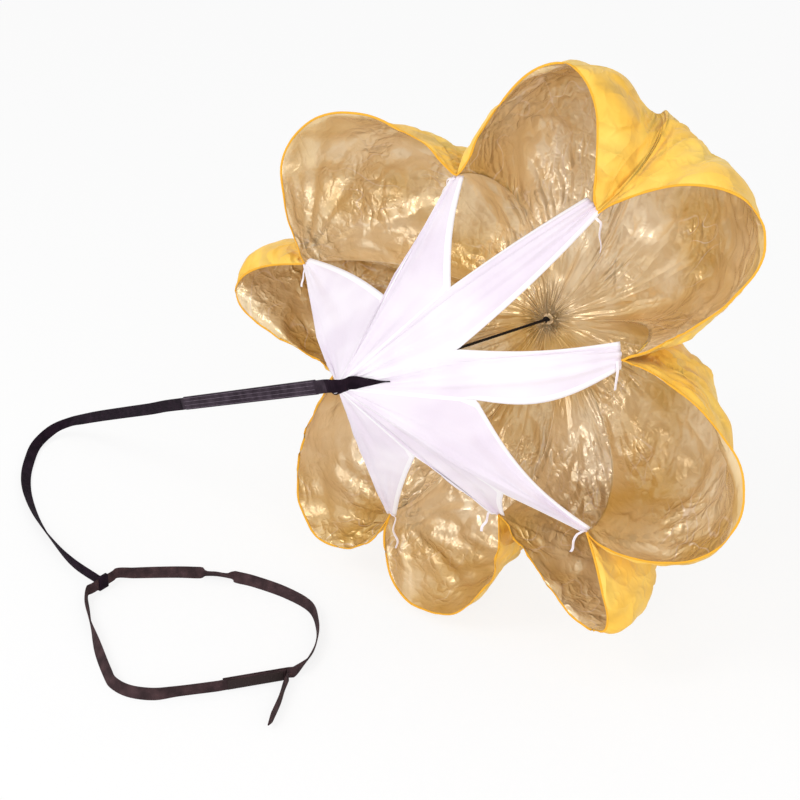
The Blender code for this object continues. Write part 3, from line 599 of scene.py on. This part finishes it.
def foldFan(setup, away, turn, phase):
    # heights of sharp folds that fan out from a point, uneven because two fans are added
    folds = sum(weight * (1 - 2 * np.abs(np.sin(turn * count / 2 + phase * (i + 1))))
                for i, (count, weight) in enumerate(setup["counts"]))
    return setup["slope"] * away * folds * np.exp(-away / setup["reach"])


def canopyShares():
    even = np.linspace(0, 1, canopy["across"], endpoint=False)
    along = np.linspace(canopy["firstRow"], 1, canopy["along"] + 1)[:, None]
    return mix(even, (1 - np.cos(math.pi * even)) / 2, np.sqrt(along)), along


def canopyNormals(grid):
    return unit(np.cross(np.roll(grid, -1, 1) - np.roll(grid, 1, 1), np.gradient(grid, axis=0)))


def neighbourRoom(grid):
    # how far each point of a lobe is from the lobes beside it and from the planes of its seams
    count, along = canopy["across"], canopyShares()[1]
    trees = []
    for k in range(lobeCount):
        points = grid[:, k * count:(k + 1) * count + 1].reshape(-1, 3)
        tree = kdtree.KDTree(len(points))
        for i, point in enumerate(points):
            tree.insert(point, i)
        tree.balance()
        trees.append(tree)
    room = []
    for k in range(lobeCount):
        own = grid[:, k * count:(k + 1) * count]
        beside = trees[k - 1], trees[(k + 1) % lobeCount]
        near = np.reshape([min(tree.find(point)[2] for tree in beside) for point in own.reshape(-1, 3)],
                          own.shape[:2])
        x, y = (own - crown) @ sideways, (own - crown) @ upward
        for angle in (seamAngle(k, along), seamAngle(k + 1, along)):
            near = np.minimum(near, np.abs(y * np.cos(angle) - x * np.sin(angle)))
        room.append(near)
    return np.concatenate(room, 1)


def canopyGrid():
    # rows run from the crown to the hem, columns all the way round
    across, along = canopyShares()
    smooth = np.concatenate([lobePoint(k, across, along * np.ones_like(across))
                             for k in range(lobeCount)], axis=1)
    rows, columns = smooth.shape[:2]
    rim = np.clip((along - canopy["rimStart"]) / (1 - canopy["rimStart"]), 0, 1)
    flat = smooth.reshape(-1, 3)
    height = sum(ridged(flat, sizeMm, seed) * high for sizeMm, high, seed in canopy["creases"])
    height = height.reshape(rows, columns) * (1 - canopy["rimCalm"] * rim)
    for k in range(lobeCount):
        side = smooth - cornerPoint(k)
        seam = unit(crown - cornerPoint(k))
        turn = np.arctan2((side * unit(np.cross(seam, outward))).sum(2), (side * seam).sum(2))
        height += foldFan(canopy["cornerFolds"], np.linalg.norm(side, axis=2), turn, k)
    fromCrown = np.linalg.norm(smooth - crown, axis=2)
    height += foldFan(canopy["crownFolds"], fromCrown, fullTurn(columns), 0.6)
    wave = np.array([noise.noise(Vector((j * canopy["puckerStep"], 4.0, 0))) for j in range(columns)])
    height += canopy["hemPucker"] * wave * rim
    room = neighbourRoom(smooth) * canopy["roomShare"]
    calm, free = canopy["crownCalm"]
    height = np.clip(height, -room, room) * np.clip((fromCrown - calm) / (free - calm), 0, 1)
    return smooth + canopyNormals(smooth) * height[..., None]


def makeCanopy(grid):
    # one sheet over all eight lobes, closed at the crown
    rows, columns = grid.shape[:2]
    points = np.concatenate([grid.reshape(-1, 3), grid[:1].mean(1)])
    faces = gridFaces(rows, columns, closed=True)
    faces += [((j + 1) % columns, j, rows * columns) for j in range(columns)]
    if (canopyNormals(grid) * (grid - crown + outward)).sum() > 0:
        faces = [face[::-1] for face in faces]
    piece = newPiece("canopy_cloth", (points, faces), [outsideCloth, insideCloth], "canopy",
                     *[f"canopy_gore_{k + 1}" for k in range(lobeCount)])
    layer = piece.data.uv_layers.new(name="metres").data
    total = lobeCount * canopy["goreWidth"]
    for face in piece.data.polygons:
        places = [divmod(i, columns) for i in face.vertices]
        u = [column * total / columns for row, column in places]
        u = [x + total if max(u) - x > total / 2 else x for x in u]  # the last gore's far edge
        for loop, x, (row, column) in zip(face.loop_indices, u, places):
            layer[loop].uv = (x, row * canopy["goreLength"] / rows)
    return piece


canopyCloth = canopyGrid()
canopyPiece = makeCanopy(canopyCloth)
print("canopy cloth laid out")

# Side panels: white cloth from each corner of the hem to the gather, sewn to each other near it
panel = {
    "tipWidths": (0.028, 0.026, 0.036, 0.042, 0.020, 0.026, 0.026, 0.020),
    # how far each tip is sewn from its corner of the hem, to the right and up
    "tipMoves": ((0, 0), (0, 0), (-0.0097, 0.0136), (-0.001, 0.0064), (0, 0), (0, 0),
                 (-0.004, -0.002), (0.010, 0)),
    "bundleRadius": 0.0068,
    "bundleLength": 0.013,
    # for each panel and the next: how far from the tips they meet, and where between their middles
    "notchShares": (0.60, 0.50, 0.58, 0.51, 0.25, 0.50, 0.50, 0.78),
    "seamShares": (0.97, 0.73, 0.64, 0.31, 0.37, 0.15, 0.40, 0.77),
    # how far each panel's free edges bow outwards, beside the panel before and the one after
    "bowBefore": (0.006, 0.0, 0.004, -0.008, -0.019, -0.004, -0.004, -0.004),
    "bowAfter": (0.008, -0.008, 0.005, 0.028, -0.002, -0.004, -0.002, -0.004),
    "across": 28,
    "along": 70,
    "thickness": 0.0006,
    # folds that run with the panel: their number across and weight, how far they drift, and their
    # height, which gives way where the panel is narrow and at its hems
    "foldWaves": ((1.5, 0.36), (2.5, 0.60), (4.0, 0.42), (6.5, 0.30)),
    "foldDrift": 2.4,
    "foldHeight": 0.0034,
    "foldRoomShare": 0.10,
    "foldRise": 12,
    "hemWidth": 0.0055,
    "hemShareLimit": 0.2,
    "hemFade": 0.06,
    "seamWidth": 0.0018,
    "hemThickness": 0.0014,
}


def bundleAngle(k):
    # the bundled panels keep even places round the hub, as near to their corners as they can
    turn = 360 / lobeCount
    first = sum(a + turn * i for i, a in enumerate(canopy["corner"]["angleDeg"])) / lobeCount
    return math.radians(first - turn * k)


def panelMiddle(k, share):
    right, up = panel["tipMoves"][k % lobeCount]
    start = cornerPoint(k % lobeCount) + sideways * right + upward * up
    end = gather + hubOut(bundleAngle(k)) * panel["bundleRadius"]
    return mix(start, end, np.reshape(share, (-1, 1)))


def pairOf(k, other):
    # number of the pair of neighbours: that of its first panel
    return min(k, other) if abs(k - other) == 1 else max(k, other)


def panelSeam(k, other, share):
    first = pairOf(k, other)
    return mix(panelMiddle(first, share), panelMiddle((first + 1) % lobeCount, share),
               panel["seamShares"][first])


def panelEdge(k, other, share):
    # edge of panel k beside its neighbour: free from the tip to the notch, then on their seam
    notch = panel["notchShares"][pairOf(k, other)]
    meet = panelSeam(k, other, notch)[0]
    start, end = panelMiddle(k, (0, 1))
    aside = squareTo(unit(end - start), meet - panelMiddle(k, notch)[0])
    bow = panel["bowAfter" if pairOf(k, other) == k else "bowBefore"][k]
    t = np.clip(share / notch, 0, 1)[:, None]
    free = mix(start + aside * panel["tipWidths"][k] / 2, meet, t) + aside * bow * np.sin(math.pi * t)
    return np.where((share < notch)[:, None], free, panelSeam(k, other, share))


def gridNormals(rows):
    return unit(np.cross(np.gradient(rows, axis=0), np.gradient(rows, axis=1)))


def panelGrid(k):
    beside = (k - 1) % lobeCount, (k + 1) % lobeCount
    share = np.linspace(0, 1, panel["along"] + 1)
    one, two = (panelEdge(k, other, share) for other in beside)
    room = np.linalg.norm(two - one, axis=1)[:, None]
    hems = []  # share of the width in each hem: full to the notch, a narrow seam beyond it
    for other in beside:
        sewn = np.clip((share - panel["notchShares"][pairOf(k, other)]) / panel["hemFade"], 0, 1)
        width = mix(panel["hemWidth"], panel["seamWidth"], sewn[:, None])
        hems.append(np.minimum(width / np.maximum(room, 1e-6), panel["hemShareLimit"]))
    first, last = hems
    inside = first + (1 - first - last) * np.linspace(0, 1, panel["across"] - 3)
    u = np.concatenate([0 * first, first / 2, inside, 1 - last / 2, 1 + 0 * last], axis=1)
    rows = mix(one[:, None], two[:, None], u[..., None])
    rows = rows + (panelMiddle(k, share) - (one + two) / 2)[:, None] * np.sin(math.pi * u)[..., None]
    rng = np.random.default_rng(40 + k)
    wave = np.zeros(rows.shape[:2])
    for count, weight in panel["foldWaves"]:
        phase, drift = rng.uniform(0, 2 * math.pi), rng.uniform(-1, 1) * panel["foldDrift"]
        wave += weight * (1 - 2 * np.abs(np.sin(math.pi * count * u + phase + drift * share[:, None])))
    height = np.minimum(panel["foldHeight"], room * panel["foldRoomShare"])
    pin = np.clip((u - first) * (1 - last - u) * panel["foldRise"], 0, 1)
    return rows + gridNormals(rows) * (wave * height * pin)[..., None]


def makePanel(k):
    rows = panelGrid(k)
    rows = np.concatenate([rows, rows[-1:] + outward * panel["bundleLength"]])
    n, m = rows.shape[:2]
    half = np.full((1, m, 1), panel["thickness"] / 2)
    half[:, [0, 1, m - 2, m - 1]] = panel["hemThickness"] / 2
    wall = gridNormals(rows) * half
    points = np.concatenate([(rows + wall).reshape(-1, 3), (rows - wall).reshape(-1, 3)])
    length = runLength(rows[:, m // 2])
    width = np.stack([runLength(row) for row in rows])
    uvs = np.stack([width, np.broadcast_to(length[:, None], width.shape)], 2).reshape(-1, 2)
    top = gridFaces(n, m)
    rim = list(range(m)) + [i * m + m - 1 for i in range(1, n)]
    rim += [(n - 1) * m + j for j in range(m - 2, -1, -1)] + [i * m for i in range(n - 2, 0, -1)]
    faces = top + [tuple(i + n * m for i in face[::-1]) for face in top]
    faces += [(b, a, a + n * m, b + n * m) for a, b in zip(rim, rim[1:] + rim[:1])]
    piece = newPiece(f"panel_cloth_{k + 1}", (points, faces, np.concatenate([uvs, uvs])),
                     [liningCloth, whiteHem], "canopy", f"side_panel_{k + 1}")
    for i, face in enumerate(piece.data.polygons):
        face.material_index = int(i >= 2 * len(top) or i % (m - 1) in (0, 1, m - 3, m - 2))


for k in range(lobeCount):
    makePanel(k)
print("side panels made")

# The canopy's rolled hem, one binding for each lobe
hem = {"halfWidth": 0.0019, "halfThickness": 0.0011, "inset": 0.0009, "sides": 8}


def makeHem(grid, k):
    count = canopy["across"]
    columns = np.arange(k * count, (k + 1) * count + 1) % grid.shape[1]
    edge, inner = grid[-1, columns], grid[-2, columns]
    away = squareTo(heading(edge), edge - inner)
    normal = unit(np.cross(heading(edge), away))
    ring = [edge + away * (hem["halfWidth"] * math.cos(a) - hem["inset"])
            + normal * hem["halfThickness"] * math.sin(a)
            for a in fullTurn(hem["sides"])]
    mesh = np.stack(ring, 1).reshape(-1, 3), tubeFaces(len(edge), hem["sides"])
    newPiece(f"hem_binding_{k + 1}", mesh, [hemBinding], "canopy", f"hem_roll_{k + 1}")


for k in range(lobeCount):
    makeHem(canopyCloth, k)
wall = canopyPiece.modifiers.new("wall", "SOLIDIFY")
wall.thickness, wall.offset, wall.material_offset = canopy["thickness"], 0.0, 1
print("canopy and hems made")

# Small ends of tape sewn in with the panels' tips
tape = {
    "width": 0.0045,
    "thickness": 0.0010,
    "lengths": (0.022, 0.024, 0.042, 0.030, 0.030, 0.034, 0.050, 0.010),
    "setback": 0.006,
    "lift": 0.0012,
    "reach": 0.010,
    "lean": 0.25,
    # shares of the length and of the curl where it hangs
    "hang": ((0.4, 1.0), (0.75, -0.5), (1.0, 0.3)),
    "curlShare": 0.15,
    "twist": 1.4,
    "step": 0.0025,
}


def makeTape(k):
    start, end = panelMiddle(k, (0, 1))
    run = unit(end - start)
    angle = cornerAngle(k)
    aside = squareTo(run, -math.sin(angle) * sideways + math.cos(angle) * upward)
    face = np.cross(run, aside)
    aside, face = aside * -np.sign(aside[2]), face * -np.sign(face[2])  # both point down
    top = cornerPoint(k) + run * tape["setback"] + face * tape["lift"]
    edge = top + aside * (tape["reach"] + tape["width"])
    drop = unit((aside + outward) * tape["lean"] - zUp)
    rng = np.random.default_rng(70 + k)
    length = tape["lengths"][k]
    bend = unit(np.cross(drop, run)) * length * tape["curlShare"] * rng.uniform(-1, 1)
    hang = [edge + drop * length * share + bend * curl for share, curl in tape["hang"]]
    centres = curveThrough([top, (top + edge) / 2, edge, *hang], tape["step"])
    twist = np.linspace(0, rng.uniform(-1, 1) * tape["twist"], len(centres))[:, None]
    newPiece(f"tape_end_{k + 1}", bandMesh(centres, np.cos(twist) * run + np.sin(twist) * face,
                                           tape["width"], tape["thickness"]),
             [whiteTape], "canopy", f"corner_tape_{k + 1}")


for k in range(lobeCount):
    makeTape(k)
print("tape ends made")

# Crown: a patch of cloth with the knot of the black line on it; the line runs out to the gather
crownLine = {
    "patchRadius": 0.0095,
    "patchThickness": 0.0016,
    # from the patch's front over its edge to its back: shares of its radius and half thickness
    "patchProfile": ((0.0, 1.0), (0.6, 1.0), (0.93, 0.9), (1.0, 0.4), (1.0, -0.4), (0.93, -0.9),
                     (0.6, -1.0), (0.0, -1.0)),
    "patchSides": 32,
    "knotRadius": 0.0052,
    "knotSpread": 0.75,
    "knotWeave": 0.45,
    "knotSteps": 90,
    "knotThread": 0.0018,
    "lineDiameter": 0.0050,
    "lineSteps": 200,
    "strands": 3,
    "strandPlace": 0.0012,
    "strandRadius": 0.0014,
    "plaitPitch": 0.012,
    "startShare": 1.2,  # of the knot's radius
    "stopLead": 0.004,
}


def makeCrown(setup):
    middle = canopyCloth[0].mean(0)
    seat = crown + outward * ((middle - crown) @ outward)
    sides, profile = setup["patchSides"], setup["patchProfile"]
    out = hubOut(fullTurn(sides))
    rows = [seat + out * radius * setup["patchRadius"] + outward * height * setup["patchThickness"] / 2
            for radius, height in profile]
    piece = newPiece("crown_disc", (np.concatenate(rows), gridFaces(len(rows), sides, closed=True)),
                     [insideCloth, outsideCloth], "canopy", "crown_patch")
    for i, face in enumerate(piece.data.polygons):  # its back half is yellow
        face.material_index = int(i // sides > len(rows) // 2 - 2)
    # the knot is a trefoil
    top = seat + outward * setup["patchThickness"] / 2
    turn = fullTurn(setup["knotSteps"])
    spread = setup["knotRadius"] * setup["knotSpread"] / 3
    knot = (np.outer(np.sin(turn) + 2 * np.sin(2 * turn), sideways) * spread
            + np.outer(np.cos(turn) - 2 * np.cos(2 * turn), upward) * spread
            + np.outer(1 - np.sin(3 * turn) * setup["knotWeave"], outward) * setup["knotRadius"])
    newPiece("crown_line_knot", tubeMesh(top + knot, setup["knotThread"], sides=8, closed=True),
             [blackCord], "canopy", "crown_knot")
    # the line is plaited from three strands
    start = top + outward * setup["knotRadius"] * setup["startShare"]
    share = np.linspace(0, 1, setup["lineSteps"])
    line = mix(start, gather + outward * setup["stopLead"], share[:, None])
    length = float(runLength(line)[-1])
    strands = []
    for strand in range(setup["strands"]):
        angle = 2 * math.pi * (share * length / setup["plaitPitch"] + strand / setup["strands"])
        place = line + hubOut(angle) * setup["strandPlace"]
        strands.append(tubeMesh(place, setup["strandRadius"], sides=6))
    piece = newPiece("crown_cord", joined(strands), [blackCord], "canopy", "crown_line")


makeCrown(crownLine)
print("crown made")

# The leash's end: folded over the bundled ends of the panels, sewn down with its pointed tip on one
end = {
    "gap": 0.0003,
    "coreSteps": 12,
    "coreSides": 48,
    "corePleats": (16, 0.05),  # number and depth as a share of the radius
    "wrapWidth": 0.011,
    # the webbing's cross-section: shares of half its width and half its thickness
    "wrapProfile": ((-1, -0.6), (-1, 0.6), (-0.93, 1), (-0.5, 1), (0, 1), (0.5, 1), (0.93, 1), (1, 0.6),
                    (1, -0.6), (0.93, -1), (0, -1), (-0.93, -1)),
    "panel": 3,  # counted from 0
    "foot": 0.004,
    # the pointed tip: distance from the gather, share of the width and distance above the panel
    "tip": ((0.061, 0.03, 0.0020), (0.048, 0.18, 0.0028), (0.037, 0.43, 0.0036), (0.026, 0.64, 0.0044),
            (0.018, 0.83, 0.0050), (0.0108, 1.0, 0.0054), (0.003, 1.0, 0.0058)),
    "narrowest": 0.05,
    # over the bundle's end: metres to the right, out from the gather and up
    "over": ((0.0133, 0.0055, 0.0084), (0.0112, 0.0130, 0.0074), (0.0058, 0.0168, 0.0064),
             (0.0, 0.0176, 0.0046), (-0.0062, 0.0170, 0.0030)),
    "step": 0.003,
}


def makeGather():
    # the bundled ends of the panels and the webbing sewn round them
    count, depth = end["corePleats"]
    turn = fullTurn(end["coreSides"])
    out = hubOut(turn)
    core = panel["bundleRadius"] - panel["thickness"] / 2 - end["gap"]
    radii = core * (1 - depth * (1 + np.cos(turn * count)))
    line = gather + outward * np.linspace(0, panel["bundleLength"], end["coreSteps"])[:, None]
    ring = line[:, None] + radii[:, None] * out
    newPiece("bundled_panel_ends", (ring.reshape(-1, 3), tubeFaces(end["coreSteps"], end["coreSides"])),
             [liningCloth], "canopy", "gather_core")
    middle = gather + outward * (panel["bundleLength"] - end["wrapWidth"] / 2)
    radius = panel["bundleRadius"] + webThickness / 2 + end["gap"]
    newPiece("gather_webbing_wrap", hoopMesh(middle + out * radius, out, outward, end["wrapWidth"],
                                             webThickness, end["wrapProfile"]),
             [leashWebbing], "canopy", "gather_wrap")


def makeLeashEnd():
    k = end["panel"]
    foot = gather + hubOut(bundleAngle(k)) * panel["bundleRadius"]
    run = unit(cornerPoint(k) - foot)
    angle = cornerAngle(k)
    aside = -math.sin(angle) * sideways + math.cos(angle) * upward
    face = unit(np.cross(run, aside))
    face = face if face @ cornerPoint(k) > 0 else -face
    lift = (panel["thickness"] + webThickness) / 2 + end["gap"] + panel["foldHeight"] / 2
    route = [[*(foot + face * lift + run * (end["foot"] + length) + upward * above), share]
             for length, share, above in end["tip"]]
    route += [[*(gather + sideways * right + outward * out + upward * up), 1.0]
              for right, out, up in end["over"]]
    line = curveThrough([*route, [*leashStart, 1.0]], end["step"])
    asides = unit(mix(aside, zUp, np.linspace(0, 1, len(line))[:, None]))
    widths = webWidth * np.clip(line[:, 3], end["narrowest"], 1)
    newPiece("leash_pointed_end", bandMesh(line[:, :3], asides, widths, webThickness, webBow),
             [leashWebbing], "canopy", "gather_tab")


makeGather()
makeLeashEnd()
print("gather made")


def stitchRow(centres, aside, offset, lift, setup):
    # real stitches: short bars of thread on the band's face, lift above its middle
    run, across, face = bandFrame(centres, aside)
    along, pitch = runLength(centres), setup["stitchPitch"]
    shape, size = np.array(setup["stitchShape"]).T
    parts = []
    for place in np.arange(pitch, along[-1] - pitch / 2, pitch):
        middle, ahead, side, above = (np.array([np.interp(place, along, column) for column in rows.T])
                                      for rows in (centres, run, across, face))
        middle = middle + unit(side) * offset + unit(above) * lift
        line = middle + unit(ahead) * setup["stitchLength"] * shape[:, None]
        parts.append(tubeMesh(line, setup["stitchSize"] / 2 * size, sides=5))
    return joined(parts)


def makeDoubledLeash(setup):
    # two plies of webbing sewn flat on each other, from the gather to the single strap
    sewn = setup["sewn"]
    line = curveThrough([leashStart, (leashStart + doubleEnd) / 2, doubleEnd], setup["doubledStep"])
    newPiece("leash_webbing", bandMesh(line, zUp, webWidth, webThickness, webBow),
             [doubledLeashWebbing], "leash", "leash_webbing_doubled")
    run, across, face = bandFrame(line, zUp)
    ply = (line + face * (webThickness + setup["plyGap"]))[sewn]
    newPiece("leash_second_ply", bandMesh(ply, across[sewn], setup["doubledWidth"], webThickness),
             [doubledLeashWebbing], "leash", "leash_stiffener_ply")
    rows = []
    for offset in setup["stitchRows"]:
        rows.append(stitchRow(ply, across[sewn], offset, webThickness / 2, setup))
        rows.append(stitchRow(line[sewn], zUp, offset, -webThickness / 2, setup))
    newPiece("leash_stitching", joined(rows), [blackThread], "leash")


makeDoubledLeash(leash)
print("leash made")

# The belt stands on its edge on the floor; its route is in shares of its span from the leash's loop
belt = {
    "loopPlace": (-0.512, -0.342, 0.0),
    "span": 0.350,
    "step": 0.004,
    # the last number is how far the upper edge leans outwards, in degrees
    "routeShares": (
        (1.17, 0.14, 32), (1.11, 0.27, 14), (1.03, 0.37, 10), (0.91, 0.46, 16), (0.74, 0.48, 22),
        (0.56, 0.46, 24), (0.465, 0.435, 24), (0.435, 0.425, -30), (0.37, 0.40, -36),
        (0.325, 0.370, -30), (0.300, 0.355, 22), (0.21, 0.29, 20), (0.08, 0.18, 12), (0.0, 0.103, 0),
        (0.0, 0.063, 0), (0.0, -0.063, 0), (0.0, -0.103, 0), (0.08, -0.18, 18), (0.21, -0.28, 2),
        (0.37, -0.39, -34), (0.53, -0.49, -38), (0.61, -0.53, -30), (0.71, -0.53, -24),
        (0.81, -0.48, -20), (0.88, -0.40, 0),
    ),
    # the overlap with its two patches: where it starts, its direction and length
    "patchStartShares": (0.997, -0.237, 0.0),
    "patchTurnDeg": 54.2,
    "patchLength": 0.100,
    "patchSetback": 0.006,
    "patchNarrower": 0.0024,
    "patchSteps": 180,
    "lapShares": (0.0, 0.32, 1.0, 1.14),
    "outerLapShares": (-0.13, 0.0, 0.5, 1.0),
    "hookThickness": 0.0016,
    "ribPitch": 0.0030,
    "ribDepth": 0.30,
    "clearance": 0.0003,
    # the belt rises off the floor inside the leash's loop
    "liftReach": 0.075,
    "liftFade": 0.045,
    "loopClearance": 0.0006,
    "tailLength": 0.130,
    "tailStart": 0.005,
    "tailShares": ((0.125, -0.205), (0.272, -0.459), (0.472, -0.882)),
    "tailStep": 0.005,
    "tipLength": 0.022,
    "tipShare": 0.15,
}
layerStep = webThickness + belt["hookThickness"] + 2 * belt["clearance"]
liftedHeight = webThickness + belt["loopClearance"] + webWidth / 2
loopPlace = np.array(belt["loopPlace"])


def patchFrame():
    # where the overlap starts, its direction and the direction away from the wearer
    angle = math.radians(belt["patchTurnDeg"])
    along = np.array([math.cos(angle), math.sin(angle), 0.0])
    return loopPlace + belt["span"] * np.array(belt["patchStartShares"]), along, np.cross(along, zUp)


def beltLine():
    start, along, outside = patchFrame()
    lap = [[*(start + along * belt["patchLength"] * share), 0] for share in belt["lapShares"]]
    free = [[*(loopPlace + belt["span"] * np.array([x, y, 0])), lean]
            for x, y, lean in belt["routeShares"]]
    outer = [[*(start + along * belt["patchLength"] * share + outside * layerStep), 0]
             for share in belt["outerLapShares"]]
    line = curveThrough([*lap, *free, *outer], belt["step"])
    centres, lean = line[:, :3].copy(), np.radians(line[:, 3])
    asides = np.cos(lean)[:, None] * zUp + np.sin(lean)[:, None] * np.cross(heading(centres), zUp)
    reach = np.abs(centres - loopPlace).sum(1)
    lift = np.clip((belt["liftReach"] - reach) / belt["liftFade"], 0, 1)
    lift = lift * lift * (3 - 2 * lift)
    standing = np.cos(lean) * webWidth / 2 + np.abs(np.sin(lean)) * webThickness / 2
    centres[:, 2] = standing + lift * (liftedHeight - webWidth / 2) + floorHeight
    return centres, asides


def makePatch(name, node, offset):
    # a strip of hook-and-loop tape on the overlap, with real ribs across it
    start, along, outside = patchFrame()
    first, last = belt["patchSetback"], belt["patchLength"] - belt["patchSetback"]
    steps = np.linspace(first, last, belt["patchSteps"])
    ribs = belt["ribDepth"] * np.sin(2 * math.pi * steps / belt["ribPitch"])
    height = webWidth / 2 + floorHeight
    centres = start + zUp * height + outside * offset + along * steps[:, None]
    width = webWidth - belt["patchNarrower"]
    points, faces, uvs = bandMesh(centres, zUp, width, belt["hookThickness"])
    grid = points.reshape(len(steps), -1, 3)
    toward = (grid - centres[:, None]) @ outside
    grid = grid + outside * (toward * ribs[:, None])[..., None]
    newPiece(name, (grid.reshape(-1, 3), faces, uvs), [hookTape], "belt", node)


def makeBelt():
    newPiece("belt_band", bandMesh(*beltLine(), webWidth, webThickness, webBow),
             [beltWebbing], "belt", "belt_webbing")
    between = webThickness / 2 + belt["clearance"] + belt["hookThickness"] / 2
    makePatch("loop_tape", "belt_loop_patch", between)
    makePatch("hook_tape", "belt_hook_patch", layerStep + between)


def makeTail():
    # the belt's loose pointed end, from the joint at the end of the overlap
    start, along, outside = patchFrame()
    beyond = belt["patchLength"] + belt["clearance"] + webThickness / 2
    axis = start + zUp * (webWidth / 2 + floorHeight) + outside * layerStep + along * beyond
    route = [axis, axis + outside * belt["tailStart"]]
    route += [axis + belt["tailLength"] * np.array([x, y, 0.0]) for x, y in belt["tailShares"]]
    tail = curveThrough(route, belt["tailStep"])
    left = np.linalg.norm(tail - tail[-1], axis=1)
    widths = webWidth * np.clip(belt["tipShare"] + left / belt["tipLength"], 0, 1)
    newPiece("belt_tail_end", bandMesh(tail, zUp, widths, webThickness),
             [beltWebbing], "tail", "belt_tail")


makeBelt()
makeTail()

# The leash's end, sewn round the belt, and the fold that the strap turns on
loop = {
    "sides": 72,
    "squareness": 12,
    "profile": ((-1, -0.6), (-1, 0.6), (-0.94, 1), (0, 1), (0.94, 1), (1, 0.6), (1, -0.6), (0.94, -1),
                (0, -1), (-0.94, -1)),
    "foldRadius": 0.0015,
    "foldEndRadius": 0.0011,
    "foldSteps": 20,
    "foldSides": 14,
}


def makeLoop(setup):
    middle = loopPlace + zUp * (liftedHeight + floorHeight)
    turn = fullTurn(setup["sides"])
    power = setup["squareness"]
    soft = (np.abs(np.cos(turn)) ** power + np.abs(np.sin(turn)) ** power) ** (-1 / power)
    clear = belt["loopClearance"] + webThickness / 2
    centres = (middle + np.outer(np.cos(turn) * soft, sideways) * (webThickness / 2 + clear)
               + np.outer(np.sin(turn) * soft, zUp) * (webWidth / 2 + clear))
    out = unit(np.cross(heading(centres, closed=True), yAhead))
    out = out * np.sign((out * (centres - middle)).sum(-1, keepdims=True))
    newPiece("leash_end_loop", hoopMesh(centres, out, yAhead, webWidth, webThickness, setup["profile"]),
             [leashWebbing], "loop", "leash_loop")
    axis = middle - sideways * (webThickness + clear + belt["clearance"] + setup["foldRadius"])
    line = axis + zUp * np.linspace(-webWidth / 2, webWidth / 2, setup["foldSteps"])[:, None]
    radii = np.full(setup["foldSteps"], setup["foldRadius"])
    radii[[0, -1]] = setup["foldEndRadius"]
    newPiece("leash_end_fold", tubeMesh(line, radii, setup["foldSides"]),
             [leashWebbing], "loop", "leash_loop_fold")


makeLoop(loop)
print("belt and loop made")

# A white room with three soft lamps that point at the canopy
studio = {
    # place, size in metres and power in watts
    "lamps": {
        "keyLamp": ((-1.6, -2.6, 2.6), 1.6, 38),
        "fillLamp": ((2.8, -1.8, 1.2), 2.0, 22),
        "frontLamp": ((1.0, -3.0, 1.4), 1.0, 17),
    },
    "surround": 0.75,  # how bright the white background is as a light
    "floorColor": "#F7F7F7",
    "floorGlow": 0.82,  # share of plain white in what is seen of the floor
    "floorHalf": 6.0,
}


def areaLamp(name, place, size, energy):
    data = bpy.data.lights.new(name, "AREA")
    data.shape, data.size, data.energy = "DISK", size, energy
    obj = bpy.data.objects.new(name, data)
    obj.location = place
    obj.rotation_euler = (-Vector(place)).to_track_quat("-Z", "Y").to_euler()
    bpy.context.collection.objects.link(obj)


def viewed(tree):
    # 1 for camera, glossy and transmission rays
    path = addNode(tree, "LightPath").outputs
    first = addNode(tree, "Math", {"operation": "MAXIMUM"},
                    {0: path["Is Camera Ray"], 1: path["Is Glossy Ray"]})
    return addNode(tree, "Math", {"operation": "MAXIMUM"},
                   {0: first.outputs[0], 1: path["Is Transmission Ray"]}).outputs[0]


def makeStudio(setup):
    world = bpy.data.worlds.new("studio")
    bpy.context.scene.world = world
    world.use_nodes = True
    tree = world.node_tree
    strength = addNode(tree, "MapRange", {"To Min": setup["surround"], "To Max": 1.0},
                       {"Value": viewed(tree)})
    back = tree.nodes["Background"]
    back.inputs["Color"].default_value = (1, 1, 1, 1)
    tree.links.new(strength.outputs["Result"], back.inputs["Strength"])
    for name, lamp in setup["lamps"].items():
        areaLamp(name, *lamp)
    made, tree, shader = newMaterial("paleStudioPaper")
    setShader(tree, shader, {
        "Base Color": linearColor(setup["floorColor"]), "Roughness": 0.9, "Specular IOR Level": 0.1})
    share = addNode(tree, "Math", {"operation": "MULTIPLY", 1: setup["floorGlow"]},
                    {0: viewed(tree)})
    glow = addNode(tree, "Emission", {"Color": (1, 1, 1, 1), "Strength": 1.0})
    seen = addNode(tree, "MixShader", {},
                   {0: share.outputs[0], 1: shader.outputs[0], 2: glow.outputs[0]})
    tree.links.new(seen.outputs[0], tree.nodes["Material Output"].inputs["Surface"])
    size = setup["floorHalf"]
    corners = [(x * size, y * size, floorHeight) for x, y in ((-1, -1), (1, -1), (1, 1), (-1, 1))]
    newPiece("studio_floor", (corners, [(0, 1, 2, 3)]), [made])


makeStudio(studio)
bpy.context.scene.view_settings.view_transform = "Standard"
